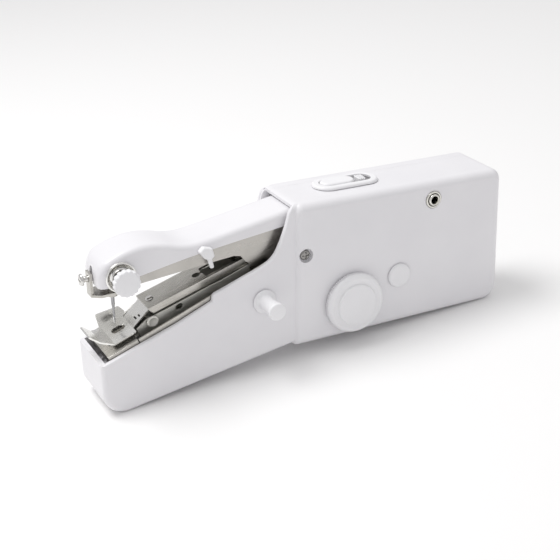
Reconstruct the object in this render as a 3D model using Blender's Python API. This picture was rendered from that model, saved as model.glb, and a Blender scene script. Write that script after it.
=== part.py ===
"""Hand-held battery sewing machine: a stapler-shaped arm over a lower jaw, driven by a motor in the handle.

Everything is modelled in millimetres in the machine's own frame and scaled to metres as each mesh is made.
Machine frame: X runs from the nose (-X) to the end of the handle (+X), Y from the face with the handwheel
(-Y) to the back (+Y), Z up. Its origin is the lower front corner of the handle block. The frame's empty then
leans the whole machine so that it stands on its nose and on the heel of the handle.
"""

import math

import bmesh
import bpy
from mathutils import Matrix, Vector

MM = 0.001
GAP = 0.3  # between pieces that touch or are pressed together

# ---------------------------------------------------------------- driving dimensions, in mm
HANDLE_LENGTH = 113.4
HANDLE_HEIGHT = 70.0
HANDLE_END_HEIGHT = 67.8
HANDLE_HALF = 17.5  # half the handle's thickness
JAW_HALF = 16.0  # half the lower jaw's thickness
WALL = 2.0
SEAM_Y = 9.0  # where the front housing meets the rear cover
SEAM_GAP = 0.3

STAND_LEAN = 3.5802  # degrees the machine leans when it stands on nose and heel
STAND_SHIFT = (-11.475, 6.35, 6.5802)  # puts the origin under the middle of the standing machine

ARM_PIVOT = (6.7, 45.1)
ARM_SWING = 9.0  # degrees from raised to fully down
ARM_HALF = 12.0
NOSE_X = -89.3
CHEEK_HALF = 10.2  # outside of the arm channel, which fits inside the cover
NEEDLE_X = -80.5
TENSION_AXIS = (-79.9, 51.8)

MODULE = 0.8
WHEEL_AXIS = (30.2, 17.5)
WINDER_AXIS = (55.6, 25.0)
MAIN_TEETH = 38
IDLER_SMALL_TEETH = 12
IDLER_LARGE_TEETH = 32
PINION_TEETH = 10
WINDER_TEETH = 12
LAYER_A = (-13.4, -10.2)  # main gear and the idler's small gear
LAYER_B = (-9.4, -6.4)  # idler's large gear, motor pinion and winder gear
PLATE_Y = (-5.4, -4.2)
YOKE_Y = (0.9, 2.1)

SHEET = 0.8  # steel sheet of the jaw, the lever and the foot
RIM_START = (-78.4, 19.9)  # where the channel's rim starts
RIM_ANGLE = 20.3
LEVER_START = (-67.1, 32.1)
LEVER_ANGLE = 16.8
LEVER_HALF = 7.9
FRAME_HALF = 9.0  # half width of the looper frame
PRESSER_PIVOT = (-16.0, 40.5)
LOOPER_PIVOT = (-66.1, 26.4)

SPOOL_AXIS = (-14.5, 27.0)
JACK_AXIS = (74.3, 59.5)
SWITCH_START, SWITCH_END = 18.0, 51.2  # along the handle's top
BUTTON_END, PLUNGER_X, LOCK = 39.0, 30.0, (40.6, 44.4)
BATTERY_RADIUS, BATTERY_LENGTH = 7.1, 50.4
BATTERY_START, BATTERY_Y = 57.5, 8.0
BATTERY_Z = (11.0, 25.5, 40.0, 54.5)
DOOR = (58.5, 107.5, 5.0, 62.0)  # x and z limits of the battery door

# ---------------------------------------------------------------- frames within the machine frame
IDENTITY = Matrix.Identity(4)


def sloped(origin, angle):
    """A frame at origin (x, z) whose X rises by angle degrees."""
    shift = Matrix.Translation((origin[0], 0, origin[1]))
    return shift @ Matrix.Rotation(-math.radians(angle), 4, "Y")


RIM = sloped(RIM_START, RIM_ANGLE)
LEVER = sloped(LEVER_START, LEVER_ANGLE)
TOP_FALL = math.degrees(math.atan((HANDLE_HEIGHT - HANDLE_END_HEIGHT) / (HANDLE_LENGTH - 2)))
TOP = sloped((1.8, HANDLE_HEIGHT), -TOP_FALL)


def top_height(x):
    """The height of the handle's top face at x."""
    return HANDLE_HEIGHT - (x - 1.8) * math.tan(math.radians(TOP_FALL))


# ---------------------------------------------------------------- materials
def material(name, colour, roughness, metallic=0.0):
    made = bpy.data.materials.new(name)
    made.use_nodes = True
    shader = made.node_tree.nodes["Principled BSDF"]
    shader.inputs["Base Color"].default_value = (*colour, 1.0)
    shader.inputs["Roughness"].default_value = roughness
    shader.inputs["Metallic"].default_value = metallic
    made.diffuse_color = (*colour, 1.0)
    return made


# ---------------------------------------------------------------- outlines
def arc(centre, radius, start, end, steps):
    """Points on a circle from start to end degrees, both included."""
    angles = [math.radians(start + (end - start) * i / steps) for i in range(steps + 1)]
    return [(centre[0] + radius * math.cos(a), centre[1] + radius * math.sin(a)) for a in angles]


def circle(centre, radius, sides):
    return arc(centre, radius, 0, 360 - 360 / sides, sides - 1)


def fillet(points, radii, steps=3):
    """The outline with each corner rounded to its radius, 0 for a sharp one."""
    made = []
    count = len(points)
    for i, (corner, radius) in enumerate(zip(points, radii)):
        here = Vector(corner)
        if radius <= 0:
            made.append(corner)
            continue
        back = (Vector(points[i - 1]) - here).normalized()
        ahead = (Vector(points[(i + 1) % count]) - here).normalized()
        half = back.angle(ahead) / 2
        reach = radius / math.tan(half)
        middle = here + (back + ahead).normalized() * (radius / math.sin(half))
        first = here + back * reach - middle
        turn = (here + ahead * reach - middle).angle_signed(first)
        for k in range(steps + 1):
            angle = turn * k / steps
            cos, sin = math.cos(angle), math.sin(angle)
            made.append((middle.x + first.x * cos - first.y * sin, middle.y + first.x * sin + first.y * cos))
    return made


def stadium(start, end, half_width, steps=6):
    """A slot-shaped outline whose round ends reach start and end."""
    right = arc((end - half_width, 0), half_width, -90, 90, steps)
    return right + arc((start + half_width, 0), half_width, 90, 270, steps)


def gear_outline(centre, teeth, phase):
    """A spur gear with straight-sided teeth; one tooth points along phase degrees."""
    pitch = MODULE * teeth / 2
    tip, root = pitch + 0.9 * MODULE, pitch - 1.2 * MODULE
    half_tip, half_root = 0.30 * MODULE, 0.86 * MODULE
    points = []
    for k in range(teeth):
        middle = math.radians(phase) + 2 * math.pi * k / teeth
        for radius, half in ((root, -half_root), (tip, -half_tip), (tip, half_tip), (root, half_root)):
            angle = middle + half / radius
            points.append((centre[0] + radius * math.cos(angle), centre[1] + radius * math.sin(angle)))
    return points


def meshing_phase(centre_a, teeth_a, phase_a, centre_b, teeth_b):
    """The phase that puts a gap of gear b where gear a's nearest tooth is."""
    line = math.degrees(math.atan2(centre_b[1] - centre_a[1], centre_b[0] - centre_a[0]))
    behind = ((line - phase_a) / (360 / teeth_a)) % 1.0
    return line + 180 + behind * 360 / teeth_b + 180 / teeth_b


def meeting_point(a, reach_a, b, reach_b):
    """The point above the line a-b that is reach_a from a and reach_b from b."""
    start, line = Vector(a), Vector(b) - Vector(a)
    along = (reach_a**2 - reach_b**2 + line.length_squared) / (2 * line.length)
    unit = line.normalized()
    point = start + unit * along + Vector((-unit.y, unit.x)) * math.sqrt(reach_a**2 - along**2)
    return (point.x, point.y)


def centre_distance(teeth_a, teeth_b):
    return MODULE * (teeth_a + teeth_b) / 2


IDLER_AXIS = meeting_point(
    WHEEL_AXIS,
    centre_distance(MAIN_TEETH, IDLER_SMALL_TEETH),
    WINDER_AXIS,
    centre_distance(IDLER_LARGE_TEETH, WINDER_TEETH),
)
MOTOR_AXIS = (IDLER_AXIS[0], IDLER_AXIS[1] + centre_distance(IDLER_LARGE_TEETH, PINION_TEETH))


# ---------------------------------------------------------------- solids
def mesh_object(name, bm, frame=IDENTITY):
    bmesh.ops.recalc_face_normals(bm, faces=bm.faces)
    bmesh.ops.transform(bm, matrix=Matrix.Scale(MM, 4) @ frame, verts=bm.verts)
    mesh = bpy.data.meshes.new(name)
    bm.to_mesh(mesh)
    bm.free()
    made = bpy.data.objects.new(name, mesh)
    bpy.context.scene.collection.objects.link(made)
    return made


def prism(name, outline, low, high, plane="XZ", frame=IDENTITY):
    """The outline in one plane, filled and extruded along the third axis from low to high."""
    place = {
        "XZ": lambda a, b, c: (a, c, b),
        "XY": lambda a, b, c: (a, b, c),
        "YZ": lambda a, b, c: (c, a, b),
    }[plane]
    bm = bmesh.new()
    bottom = [bm.verts.new(place(a, b, low)) for a, b in outline]
    top = [bm.verts.new(place(a, b, high)) for a, b in outline]
    bm.faces.new(bottom)
    bm.faces.new(top)
    for i in range(len(outline)):
        j = (i + 1) % len(outline)
        bm.faces.new((bottom[i], bottom[j], top[j], top[i]))
    return mesh_object(name, bm, frame)


def box(name, low, high, frame=IDENTITY):
    outline = [(low[0], low[2]), (high[0], low[2]), (high[0], high[2]), (low[0], high[2])]
    return prism(name, outline, low[1], high[1], frame=frame)


def turned(name, profile, centre, sides=24, frame=IDENTITY):
    """A closed profile of (radius, y) turned about the line along Y through centre (x, z)."""
    bm = bmesh.new()
    rings = []
    for radius, y in profile:
        if radius == 0:
            rings.append([bm.verts.new((centre[0], y, centre[1]))])
            continue
        rings.append([bm.verts.new((x, y, z)) for x, z in circle(centre, radius, sides)])
    for ring, following in zip(rings, rings[1:] + rings[:1]):
        for i in range(sides):
            j = (i + 1) % sides
            corners = [ring[i % len(ring)], ring[j % len(ring)]]
            corners += [following[j % len(following)], following[i % len(following)]]
            corners = list(dict.fromkeys(corners))
            if len(corners) > 2:
                bm.faces.new(corners)
    return mesh_object(name, bm, frame)


def rod(name, centre, radius, low, high, sides=16, frame=IDENTITY):
    return prism(name, circle(centre, radius, sides), low, high, frame=frame)


def loft(name, sections):
    """A solid through closed sections with equal numbers of points, each a list of (x, y, z)."""
    bm = bmesh.new()
    rings = [[bm.verts.new(point) for point in section] for section in sections]
    count = len(rings[0])
    for ring, following in zip(rings, rings[1:]):
        for i in range(count):
            j = (i + 1) % count
            bm.faces.new((ring[i], ring[j], following[j], following[i]))
    bm.faces.new(rings[0])
    bm.faces.new(rings[-1])
    return mesh_object(name, bm)


def inset(corners, distance):
    """The corners of a counter-clockwise outline after all its sides move inwards."""
    made = []
    for i, corner in enumerate(corners):
        here = Vector(corner)
        back = (here - Vector(corners[i - 1])).normalized()
        ahead = (Vector(corners[(i + 1) % len(corners)]) - here).normalized()
        normals = Vector((-back.y, back.x)), Vector((-ahead.y, ahead.x))
        made.append(tuple(here + (normals[0] + normals[1]) * distance / (1 + normals[0].dot(normals[1]))))
    return made


def rounded_slab(name, corners, radii, half, rounding, steps=3):
    """A slab between -half and half along Y with filleted corners and rounded edges."""
    sections = []
    for side in (-1, 1):
        for k in range(steps + 1):
            angle = math.pi / 2 * (steps - k if side < 0 else k) / steps
            inwards = rounding * (1 - math.cos(angle))
            y = side * (half - rounding + rounding * math.sin(angle))
            outline = fillet(inset(corners, inwards), [max(r - inwards, 0.4) for r in radii], 4)
            sections.append([(x, y, z) for x, z in outline])
    return loft(name, sections)


def coil(name, centre, radius, wire, low, high, turns, frame=IDENTITY):
    """A helical spring about the line along Y through centre, as one closed tube."""
    around, steps = 5, 9 * turns
    bm = bmesh.new()
    rings = []
    for k in range(steps + 1):
        angle = 2 * math.pi * turns * k / steps
        y = low + wire + (high - low - 2 * wire) * k / steps
        ring = []
        for j in range(around):
            turn = 2 * math.pi * j / around
            reach = radius + wire * math.cos(turn)
            x, z = centre[0] + reach * math.cos(angle), centre[1] + reach * math.sin(angle)
            ring.append(bm.verts.new((x, y + wire * math.sin(turn), z)))
        rings.append(ring)
    for ring, following in zip(rings, rings[1:]):
        for j in range(around):
            i = (j + 1) % around
            bm.faces.new((ring[j], ring[i], following[i], following[j]))
    bm.faces.new(rings[0])
    bm.faces.new(rings[-1])
    return mesh_object(name, bm, frame)


def bake(obj):
    """Replaces the object's mesh by what its modifiers make of it."""
    bpy.context.view_layer.update()
    graph = bpy.context.evaluated_depsgraph_get()
    obj.data = bpy.data.meshes.new_from_object(obj.evaluated_get(graph))
    obj.modifiers.clear()


def bevel(obj, width, segments=2, angle=40):
    rounding = obj.modifiers.new("Rounding", "BEVEL")
    rounding.width = width * MM
    rounding.segments = segments
    rounding.limit_method = "ANGLE"
    rounding.angle_limit = math.radians(angle)
    bake(obj)
    return obj


def boolean(obj, operation, others):
    for other in others:
        step = obj.modifiers.new(operation, "BOOLEAN")
        step.operation = operation
        step.solver = "EXACT"
        step.object = other
        bake(obj)
        bpy.data.objects.remove(other)
    return obj


def cut(obj, *others):
    return boolean(obj, "DIFFERENCE", others)


def join(obj, *others):
    return boolean(obj, "UNION", others)


# ---------------------------------------------------------------- the tree of frames and the finish of a piece
FRAMES = {}


def new_frame(name, location=(0, 0, 0), parent=None):
    """An empty at a place in the machine frame. Pieces parented to it have their origins there."""
    empty = bpy.data.objects.new(name, None)
    bpy.context.scene.collection.objects.link(empty)
    empty.empty_display_size = 5 * MM
    base = FRAMES[parent][1] if parent else Vector((0, 0, 0))
    empty.location = (Vector(location) - base) * MM
    empty.parent = FRAMES[parent][0] if parent else None
    FRAMES[name] = (empty, Vector(location))


def finish(obj, frame, look, smooth_angle=35):
    """Gives a piece its material, shades its round faces smooth and hangs it on its frame."""
    empty, origin = FRAMES[frame]
    obj.data.transform(Matrix.Translation(-origin * MM))
    obj.parent = empty
    obj.data.materials.clear()
    obj.data.materials.append(LOOKS[look])
    obj.data.shade_smooth()
    obj.data.set_sharp_from_angle(angle=math.radians(smooth_angle))
    return obj


# ---------------------------------------------------------------- housing
BLOCK_OUTLINE = [(-0.5, 0.0), (HANDLE_LENGTH, 0.0)]
BLOCK_OUTLINE += [(HANDLE_LENGTH - 0.2, HANDLE_END_HEIGHT), (1.8, HANDLE_HEIGHT)]
NECK_CORNER, ROOF_EDGE = 0.2, 1.8  # where the cheeks' top corner and the edge of the roof over the arm are
NECK_CURVE = [(-2.1, 61.3), (-5.1, 54.0), (-8.0, 48.4), (-11.6, 45.2), (-15.8, 43.4)]
ROOF_LOW = 67.8
FLUSH = 0.05  # how far the neck's top lies below the handle's
REAR_SCREWS = ((6.2, 8.4), (47.6, 7.3), (50.8, 61.0), (-82.7, 1.2))
PLATE_POSTS = ((20.0, 40.0), (52.0, 54.5), (60.0, 12.0))


def jaw_solid():
    """Neck and lower jaw as one solid block: rounded below and at the nose, plain along its open top."""
    sole = [(-93.2, -13.6), (-1.0, 1.5), (8.0, 3.0), (8.0, 90.0), (-93.2, 90.0)]
    jaw = rounded_slab("jaw", sole, [10.0, 0.4, 0.4, 0.4, 0.4], JAW_HALF, 2.4)
    side = [(NECK_CORNER, top_height(NECK_CORNER) - FLUSH)] + NECK_CURVE
    side += [(-39.2, 35.5), (-39.8, 32.2), (-56.6, 25.4), (-78.7, 18.0), (-92.6, 13.2)]
    side += [(-100.0, 13.2), (-100.0, -40.0), (20.0, -40.0), (20.0, top_height(20.0) - FLUSH)]
    radii = [5.5] + [0] * 5 + [1.5, 0.8, 0, 0, 6.0] + [0] * 4
    edges = [(-120.0, -60.0), (30.0, -60.0), (30.0, top_height(30.0)), (-120.0, top_height(-120.0))]
    rounding = rounded_slab("rounding", edges, [0.4] * 4, JAW_HALF + 0.01, 3.6)
    return boolean(jaw, "INTERSECT", [prism("side", fillet(side, radii, 4), -40, 40), rounding])


def inner_space():
    """What is hollow inside the handle, and inside the neck and jaw, as two solids."""
    low, right = WALL, HANDLE_LENGTH - WALL - 0.1
    handle = [(1.7, low), (right, low)]
    handle += [(right - 0.2, HANDLE_END_HEIGHT - WALL), (3.8, HANDLE_HEIGHT - WALL - 0.1)]
    half = HANDLE_HALF - WALL
    inside_handle = prism("inside_handle", fillet(handle, [1, 4.5, 4.5, 1.5]), -half, half)
    jaw = [(8.0, ROOF_LOW), (ROOF_EDGE, ROOF_LOW), (ROOF_EDGE, 85.0), (-91.0, 85.0)]
    jaw += [(-91.0, -11.3), (-1.0, 3.6), (8.0, 5.0)]
    half = JAW_HALF - WALL
    inside_jaw = prism("inside_jaw", fillet(jaw, [0, 0, 0, 0, 8, 0, 0], 4), -half, half)
    return inside_handle, inside_jaw


def housing_half(name, front):
    """The part of the hollow housing in front of the seam, or behind it."""
    block = rounded_slab(name, BLOCK_OUTLINE, [3, 8, 5.5, 0.5], HANDLE_HALF, 4.0)
    half = join(block, jaw_solid())
    cut(half, *inner_space())
    far = 40.0
    low, high = (SEAM_Y - SEAM_GAP / 2, far) if front else (-far, SEAM_Y + SEAM_GAP / 2)
    return cut(half, box("other_half", (-120, low, -40), (140, high, 100)))


def build_front_housing():
    housing = housing_half("front_housing", front=True)
    inner = -HANDLE_HALF + WALL
    for x, z in REAR_SCREWS:
        start = inner if x > 0 else -JAW_HALF + WALL
        join(housing, rod("boss", (x, z), 3.2, start - 1, SEAM_Y - 1.0, 12))
        cut(housing, rod("pilot", (x, z), 1.5, -2.0, SEAM_Y, 10))
    for x, z in PLATE_POSTS:
        join(housing, rod("post", (x, z), 2.2, inner - 1, PLATE_Y[0] - GAP, 10))
    join(housing, rod("pivot_boss", ARM_PIVOT, 4.0, inner - 1, -CHEEK_HALF - 0.6, 16))
    cut(housing, rod("pivot_hole", ARM_PIVOT, 1.9, -HANDLE_HALF - 1, -CHEEK_HALF, 12))
    cut(housing, rod("screw_recess", ARM_PIVOT, 3.2, -HANDLE_HALF - 1, -HANDLE_HALF + 1.7, 20))
    for axis, radius in ((WHEEL_AXIS, 2.6), (WINDER_AXIS, 2.1), (JACK_AXIS, 3.3)):
        cut(housing, rod("hole", axis, radius, -HANDLE_HALF - 1, inner + 1, 20))
    cut(housing, rod("gear_relief", WHEEL_AXIS, 16.4, LAYER_A[0] - 0.4, LAYER_A[1] + 0.4, 48))
    cut(housing, rod("jack_recess", JACK_AXIS, 4.3, -HANDLE_HALF - 1, -HANDLE_HALF + 0.5, 24))
    cut(housing, rod("spool_hole", SPOOL_AXIS, 2.1, -JAW_HALF - 1, -JAW_HALF + WALL + 1, 12))
    wall = [(54.2, 1.0), (112.2, 1.0), (112.2, 66.5), (54.2, 66.5)]
    join(housing, prism("battery_wall", fillet(wall, [0, 7, 6, 0]), -1.0, 0.2))
    join(housing, box("battery_stop", (54.2, -0.5, 1.0), (55.4, 8.0, 56.0)))
    slot = stadium(SWITCH_START + 3.0, SWITCH_END - 3.0, 5.2)
    cut(housing, prism("switch_hole", slot, -WALL - 1, 1, "XY", TOP))
    return finish(housing, "machine", "shell")


def build_rear_cover():
    cover = housing_half("rear_cover", front=False)
    for x, z in REAR_SCREWS:
        back = HANDLE_HALF if x > 0 else JAW_HALF
        join(cover, rod("boss", (x, z), 3.6, SEAM_Y + 0.4, back - WALL + 1, 12))
        cut(cover, rod("screw_hole", (x, z), 1.7, SEAM_Y - 1, back + 1, 12))
        cut(cover, rod("head_recess", (x, z), 2.9, back - 2.2, back + 1, 16))
    pad = [(2.0, 67.7), (1.6, 67.2), (0.6, 65.0), (-0.5, 62.5), (-1.6, 59.0), (5.0, 57.0), (7.0, 67.7)]
    join(cover, prism("cheek_pad", pad, ARM_HALF + 0.6, JAW_HALF - WALL + 0.5))
    join(cover, rod("pivot_boss", ARM_PIVOT, 4.0, CHEEK_HALF + 0.6, HANDLE_HALF - WALL + 1, 12))
    cut(cover, rod("pivot_hole", ARM_PIVOT, 1.5, CHEEK_HALF, HANDLE_HALF - 1.0, 12))
    x0, x1, z0, z1 = DOOR
    opening = fillet([(x0, z0), (x1, z0), (x1, z1), (x0, z1)], [3] * 4)
    cut(cover, prism("door_opening", opening, HANDLE_HALF - WALL - 1, HANDLE_HALF + 1))
    return finish(cover, "machine", "shell")


def build_battery_door():
    x0, x1, z0, z1 = DOOR
    gap = GAP + 0.1
    outline = [(x0 + gap, z0 + gap), (x1 - gap, z0 + gap), (x1 - gap, z1 - gap), (x0 + gap, z1 - gap)]
    door = prism("battery_door", fillet(outline, [3] * 4), HANDLE_HALF - WALL + 0.1, HANDLE_HALF)
    grip = fillet([(x0 + 6, 27), (x0 + 10, 27), (x0 + 10, 40), (x0 + 6, 40)], [1.5] * 4)
    cut(door, prism("grip", grip, HANDLE_HALF - 0.7, HANDLE_HALF + 1))
    return finish(door, "battery_door_frame", "shell")


def screw(name, centre, head_y, tip_y, head_radius, shank_radius, sides=20):
    """A pan-head cross screw whose head faces away from its tip."""
    way = 1 if tip_y > head_y else -1
    profile = [(0, head_y), (head_radius * 0.75, head_y + 0.05 * way), (head_radius, head_y + 0.7 * way)]
    profile += [(head_radius, head_y + 1.3 * way), (shank_radius, head_y + 1.3 * way)]
    profile += [(shank_radius, tip_y - 0.8 * way), (0, tip_y)]
    made = turned(name, profile, centre, sides)
    x, z = centre
    half, arm = head_radius * 0.16, head_radius * 0.62
    low, high = sorted((head_y - way, head_y + 0.55 * way))
    cross = [(-arm, -half), (-half, -half), (-half, -arm), (half, -arm), (half, -half), (arm, -half)]
    cross += [(-a, -b) for a, b in cross]
    cut(made, prism("cross", [(x + a, z + b) for a, b in cross], low, high))
    return finish(made, "machine", "steel")


def build_fasteners():
    screw("arm_pivot_screw", ARM_PIVOT, -HANDLE_HALF + 0.35, HANDLE_HALF - 1.6, 2.8, 1.2)
    for number, (x, z) in enumerate(REAR_SCREWS, 1):
        back = HANDLE_HALF if x > 0 else JAW_HALF
        screw(f"rear_screw_{number}", (x, z), back - 0.5, 0.0, 2.5, 1.2, 12)


# ---------------------------------------------------------------- lower jaw
def build_base_channel():
    length, depth, half = 74.0, 12.0, 13.6
    channel = box("base_channel", (4.0, -half, -depth), (length, half, 0), RIM)
    hollow = half - SHEET
    cut(channel, box("trough", (3.0, -hollow, -depth + SHEET), (length + 1, hollow, 1), RIM))
    return finish(channel, "machine", "steel")


def build_looper_frame():
    """The inner channel that carries the looper's and the lever's pivots. Its sides rise to the lever."""
    side = [(6.0, -10.9), (69.0, -10.9), (69.0, 0.2), (64.0, 1.0), (50.0, 1.2), (44.0, 1.9)]
    side += [(12.0, 3.8), (6.0, 2.0)]
    frame = prism("looper_frame", side, -FRAME_HALF, FRAME_HALF, frame=RIM)
    inner = FRAME_HALF - SHEET
    cut(frame, box("inside", (5.0, -inner, -10.9 + SHEET), (70.0, inner, 6.0), RIM))
    cut(frame, rod("looper_hole", LOOPER_PIVOT, 1.5, -FRAME_HALF - 1, FRAME_HALF + 1, 12))
    cut(frame, rod("lever_hole", PRESSER_PIVOT, 1.8, -FRAME_HALF - 1, FRAME_HALF + 1, 12))
    window = stadium(-1.9, 1.9, 1.4, 4)
    cut(frame, prism("window", window, -FRAME_HALF - 1, 0, frame=sloped((-53.0, 30.2), 24)))
    return finish(frame, "machine", "steel")


def build_needle_plate():
    """The throat plate over the nose, with skirts inside the jaw's walls."""
    half, end = 13.6, 3.6
    plate = box("needle_plate", (-11.6, -half, -6.0), (end, half, 0.0), RIM)
    inner = half - SHEET
    cut(plate, box("under", (-10.8, -inner, -7.0), (end + 1, inner, -SHEET), RIM))
    cut(plate, prism("needle_slot", stadium(-4.6, 2.4, 1.3, 4), -3, 1, "XY", RIM))
    for y in (-4.4, 4.4):
        slot = [(-7.8, y - 1.3), (2.4, y - 1.3), (2.4, y + 1.3), (-7.8, y + 1.3)]
        cut(plate, prism("feed_slot", slot, -3, 1, "XY", RIM))
    return finish(plate, "machine", "steel")


def build_feed_dog():
    """Two toothed bars on one carrier, which runs back through the looper frame."""
    carrier = [(-4.6, -5.4), (1.6, -5.4), (1.6, -3.2), (26.0, -3.2)]
    carrier += [(x, -y) for x, y in reversed(carrier)]
    dog = prism("feed_dog", carrier, -9.7, -8.5, "XY", RIM)
    teeth, pitch = 5, 1.12
    for y in (-4.4, 4.4):
        row = [(-4.3, -9.1), (1.3, -9.1)]
        for k in range(teeth):
            right = 1.3 - k * pitch
            row += [(right, -0.2), (right - pitch * 0.8, -1.0)]
        join(dog, prism("bar", row, y - 0.8, y + 0.8, frame=RIM))
    cut(dog, box("needle_way", (-8.0, -1.6, -12.0), (4.0, 1.6, -6.0), RIM))
    return finish(dog, "feed_frame", "dark_steel")


def build_looper():
    """A flat hook that swings beside the needle, below the needle plate."""
    inverse = RIM.inverted()
    pivot = (inverse @ Vector((LOOPER_PIVOT[0], 0, LOOPER_PIVOT[1]))).xz
    hook = arc(pivot, 2.3, -70, 120, 6) + [(2.6, -3.2), (-4.6, -3.9), (-6.8, -4.9), (-4.4, -5.1), (2.0, -6.0)]
    looper = prism("looper", hook, 1.3, 2.5, frame=RIM)
    cut(looper, rod("bore", LOOPER_PIVOT, 1.5, 0, 3, 12))
    return finish(looper, "looper_axis_frame", "bright_steel")


def build_jaw_pins():
    x, z = LOOPER_PIVOT
    rivet = [(0, -10.9), (2.2, -10.8), (2.9, -10.4), (2.9, -9.9), (1.2, -9.9), (1.2, 10.2), (0, 10.2)]
    finish(turned("looper_rivet", rivet, (x, z), 20), "machine", "steel")
    finish(rod("presser_pivot_pin", PRESSER_PIVOT, 1.5, -9.1, 9.1, 14), "machine", "bright_steel")


# ---------------------------------------------------------------- presser lever and foot
def build_presser_lever():
    length = 55.5
    back = (PRESSER_PIVOT[0] - LEVER_START[0], PRESSER_PIVOT[1] - LEVER_START[1])
    cos, sin = math.cos(math.radians(LEVER_ANGLE)), math.sin(math.radians(LEVER_ANGLE))
    pivot = (back[0] * cos + back[1] * sin, back[1] * cos - back[0] * sin)
    side = [(0, 0), (0, -1.2), (1.2, -3.4), (45.0, -3.4)]
    side += [(pivot[0] - 3.0, pivot[1] - 0.8)] + arc(pivot, 3.0, 200, 360, 5) + [(length, 0)]
    lever = prism("presser_lever", side, -LEVER_HALF, LEVER_HALF, frame=LEVER)
    inner = LEVER_HALF - SHEET
    cut(lever, box("inside", (-1, -inner, -20), (length + 2, inner, -SHEET), LEVER))
    cut(lever, rod("bore", pivot, 1.8, -LEVER_HALF - 1, LEVER_HALF + 1, 14, LEVER))
    window = fillet([(30.0, -6.0), (47.5, -6.0), (47.5, 3.0), (30.0, 3.0)], [1.2, 3.0, 3.0, 1.2])
    cut(lever, prism("window", window, -2, 1, "XY", LEVER))
    cut(lever, prism("keyhole", circle((27.2, -1.0), 1.9, 14), -2, 1, "XY", LEVER))
    cut(lever, prism("keyway", [(27, -1.7), (31, -1.7), (31, -0.3), (27, -0.3)], -2, 1, "XY", LEVER))
    cut(lever, prism("rivet_hole", circle((3.6, 0.0), 1.3, 12), -2, 1, "XY", LEVER))
    return finish(lever, "presser_frame", "steel")


def strip(points, thickness):
    """A side outline of bent sheet: the points are its top line, front to back."""
    lower = []
    for i, point in enumerate(points):
        here = Vector(point)
        before = (here - Vector(points[i - 1])).normalized() if i else None
        after = (Vector(points[i + 1]) - here).normalized() if i + 1 < len(points) else None
        along = ((before or after) + (after or before)).normalized()
        normal = Vector((along.y, -along.x))
        reach = thickness / max(0.5, normal.dot(Vector(((after or before).y, -(after or before).x))))
        lower.append(tuple(here + normal * reach))
    return points + lower[::-1]


def build_presser_foot():
    """Tab under the lever, ramp, plate with the needle's hole, and a toe that turns up."""
    tab_end = (LEVER @ Vector((7.4, 0, -SHEET - GAP))).xz
    fold = (LEVER @ Vector((0.2, 0, -SHEET - GAP))).xz
    line = [(-95.2, 25.4), (-90.6, 22.0), (-84.6, 19.9), (-74.4, 23.7), tuple(fold), tuple(tab_end)]
    foot = prism("presser_foot", strip(line, SHEET), -10.0, 7.2)
    cut(foot, box("ramp_front", (-74.3, -12, 10), (-50, -6.4, 60)))
    cut(foot, box("ramp_back", (-74.3, 6.4, 10), (-50, 12, 60)))
    toe = [(-100, 2.5), (-91.0, 3.5), (-86.0, 7.3), (-84.0, 12.0), (-100, 12.0)]
    cut(foot, prism("toe_side", toe, 0, 60, "XY"))
    cut(foot, prism("toe_front", [(-100, -8.6), (-100, -12), (-84.6, -12), (-84.6, -10.0)], 0, 60, "XY"))
    hole = fillet([(-82.3, -2.6), (-76.3, -2.6), (-76.3, 2.2), (-82.3, 2.2)], [1.6] * 4)
    cut(foot, prism("needle_hole", hole, 0, 26, "XY"))
    rivet = prism("rivet_hole", circle((3.6, 0.0), 1.3, 12), -3, 1, "XY", LEVER)
    cut(foot, rivet)
    for x, y0, y1 in ((-71.6, -3.6, -0.6), (-70.2, -4.6, -2.2)):
        cut(foot, box("ramp_slot", (x - 0.3, y0, 22), (x + 0.3, y1, 34)))
    guard = [(-85.5, 19.4), (-74.4, 23.2), (-73.4, 26.5), (-76.0, 29.4), (-87.3, 27.6)]
    join(foot, prism("guard", guard, 6.6, 7.3))
    join(foot, box("hook", (-80.6, 6.0, 26.6), (-78.6, 7.0, 28.8)))
    return finish(foot, "presser_frame", "bright_steel")


def build_foot_rivet():
    shank = (3.6, 0.0)
    profile = [(0, 0.9), (1.5, 0.7), (1.9, 0.1), (1.0, 0.1), (1.0, -2.0), (1.7, -2.2), (1.5, -2.7), (0, -2.8)]
    upright = LEVER @ Matrix.Translation((shank[0], 0, 0)) @ Matrix.Rotation(math.radians(90), 4, "X")
    rivet = turned("foot_rivet", profile, (0, 0), 16, upright)
    return finish(rivet, "presser_frame", "steel")


# ---------------------------------------------------------------- arm
ARM_TOP = [(-89.3, 50.5), (-88.9, 54.5), (-87.2, 57.6), (-84.4, 59.6), (-80.5, 61.3), (-76.0, 62.6)]
ARM_TOP += [(-70.0, 63.6), (-64.0, 63.4), (-58.0, 62.2), (-52.0, 60.4), (-46.0, 59.6), (-38.0, 60.3)]
ARM_TOP += [(-25.0, 62.4), (-10.0, 64.9), (4.0, 67.2)]
ARM_BOTTOM = [(-89.3, 46.8), (-71.6, 50.1), (-44.0, 54.6), (-2.5, 59.3), (4.0, 60.0)]


def level(line, x):
    """The height of a polyline at x."""
    for (x0, z0), (x1, z1) in zip(line, line[1:]):
        if x <= x1:
            return z0 + (z1 - z0) * (max(x, x0) - x0) / (x1 - x0)
    return line[-1][1]


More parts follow.
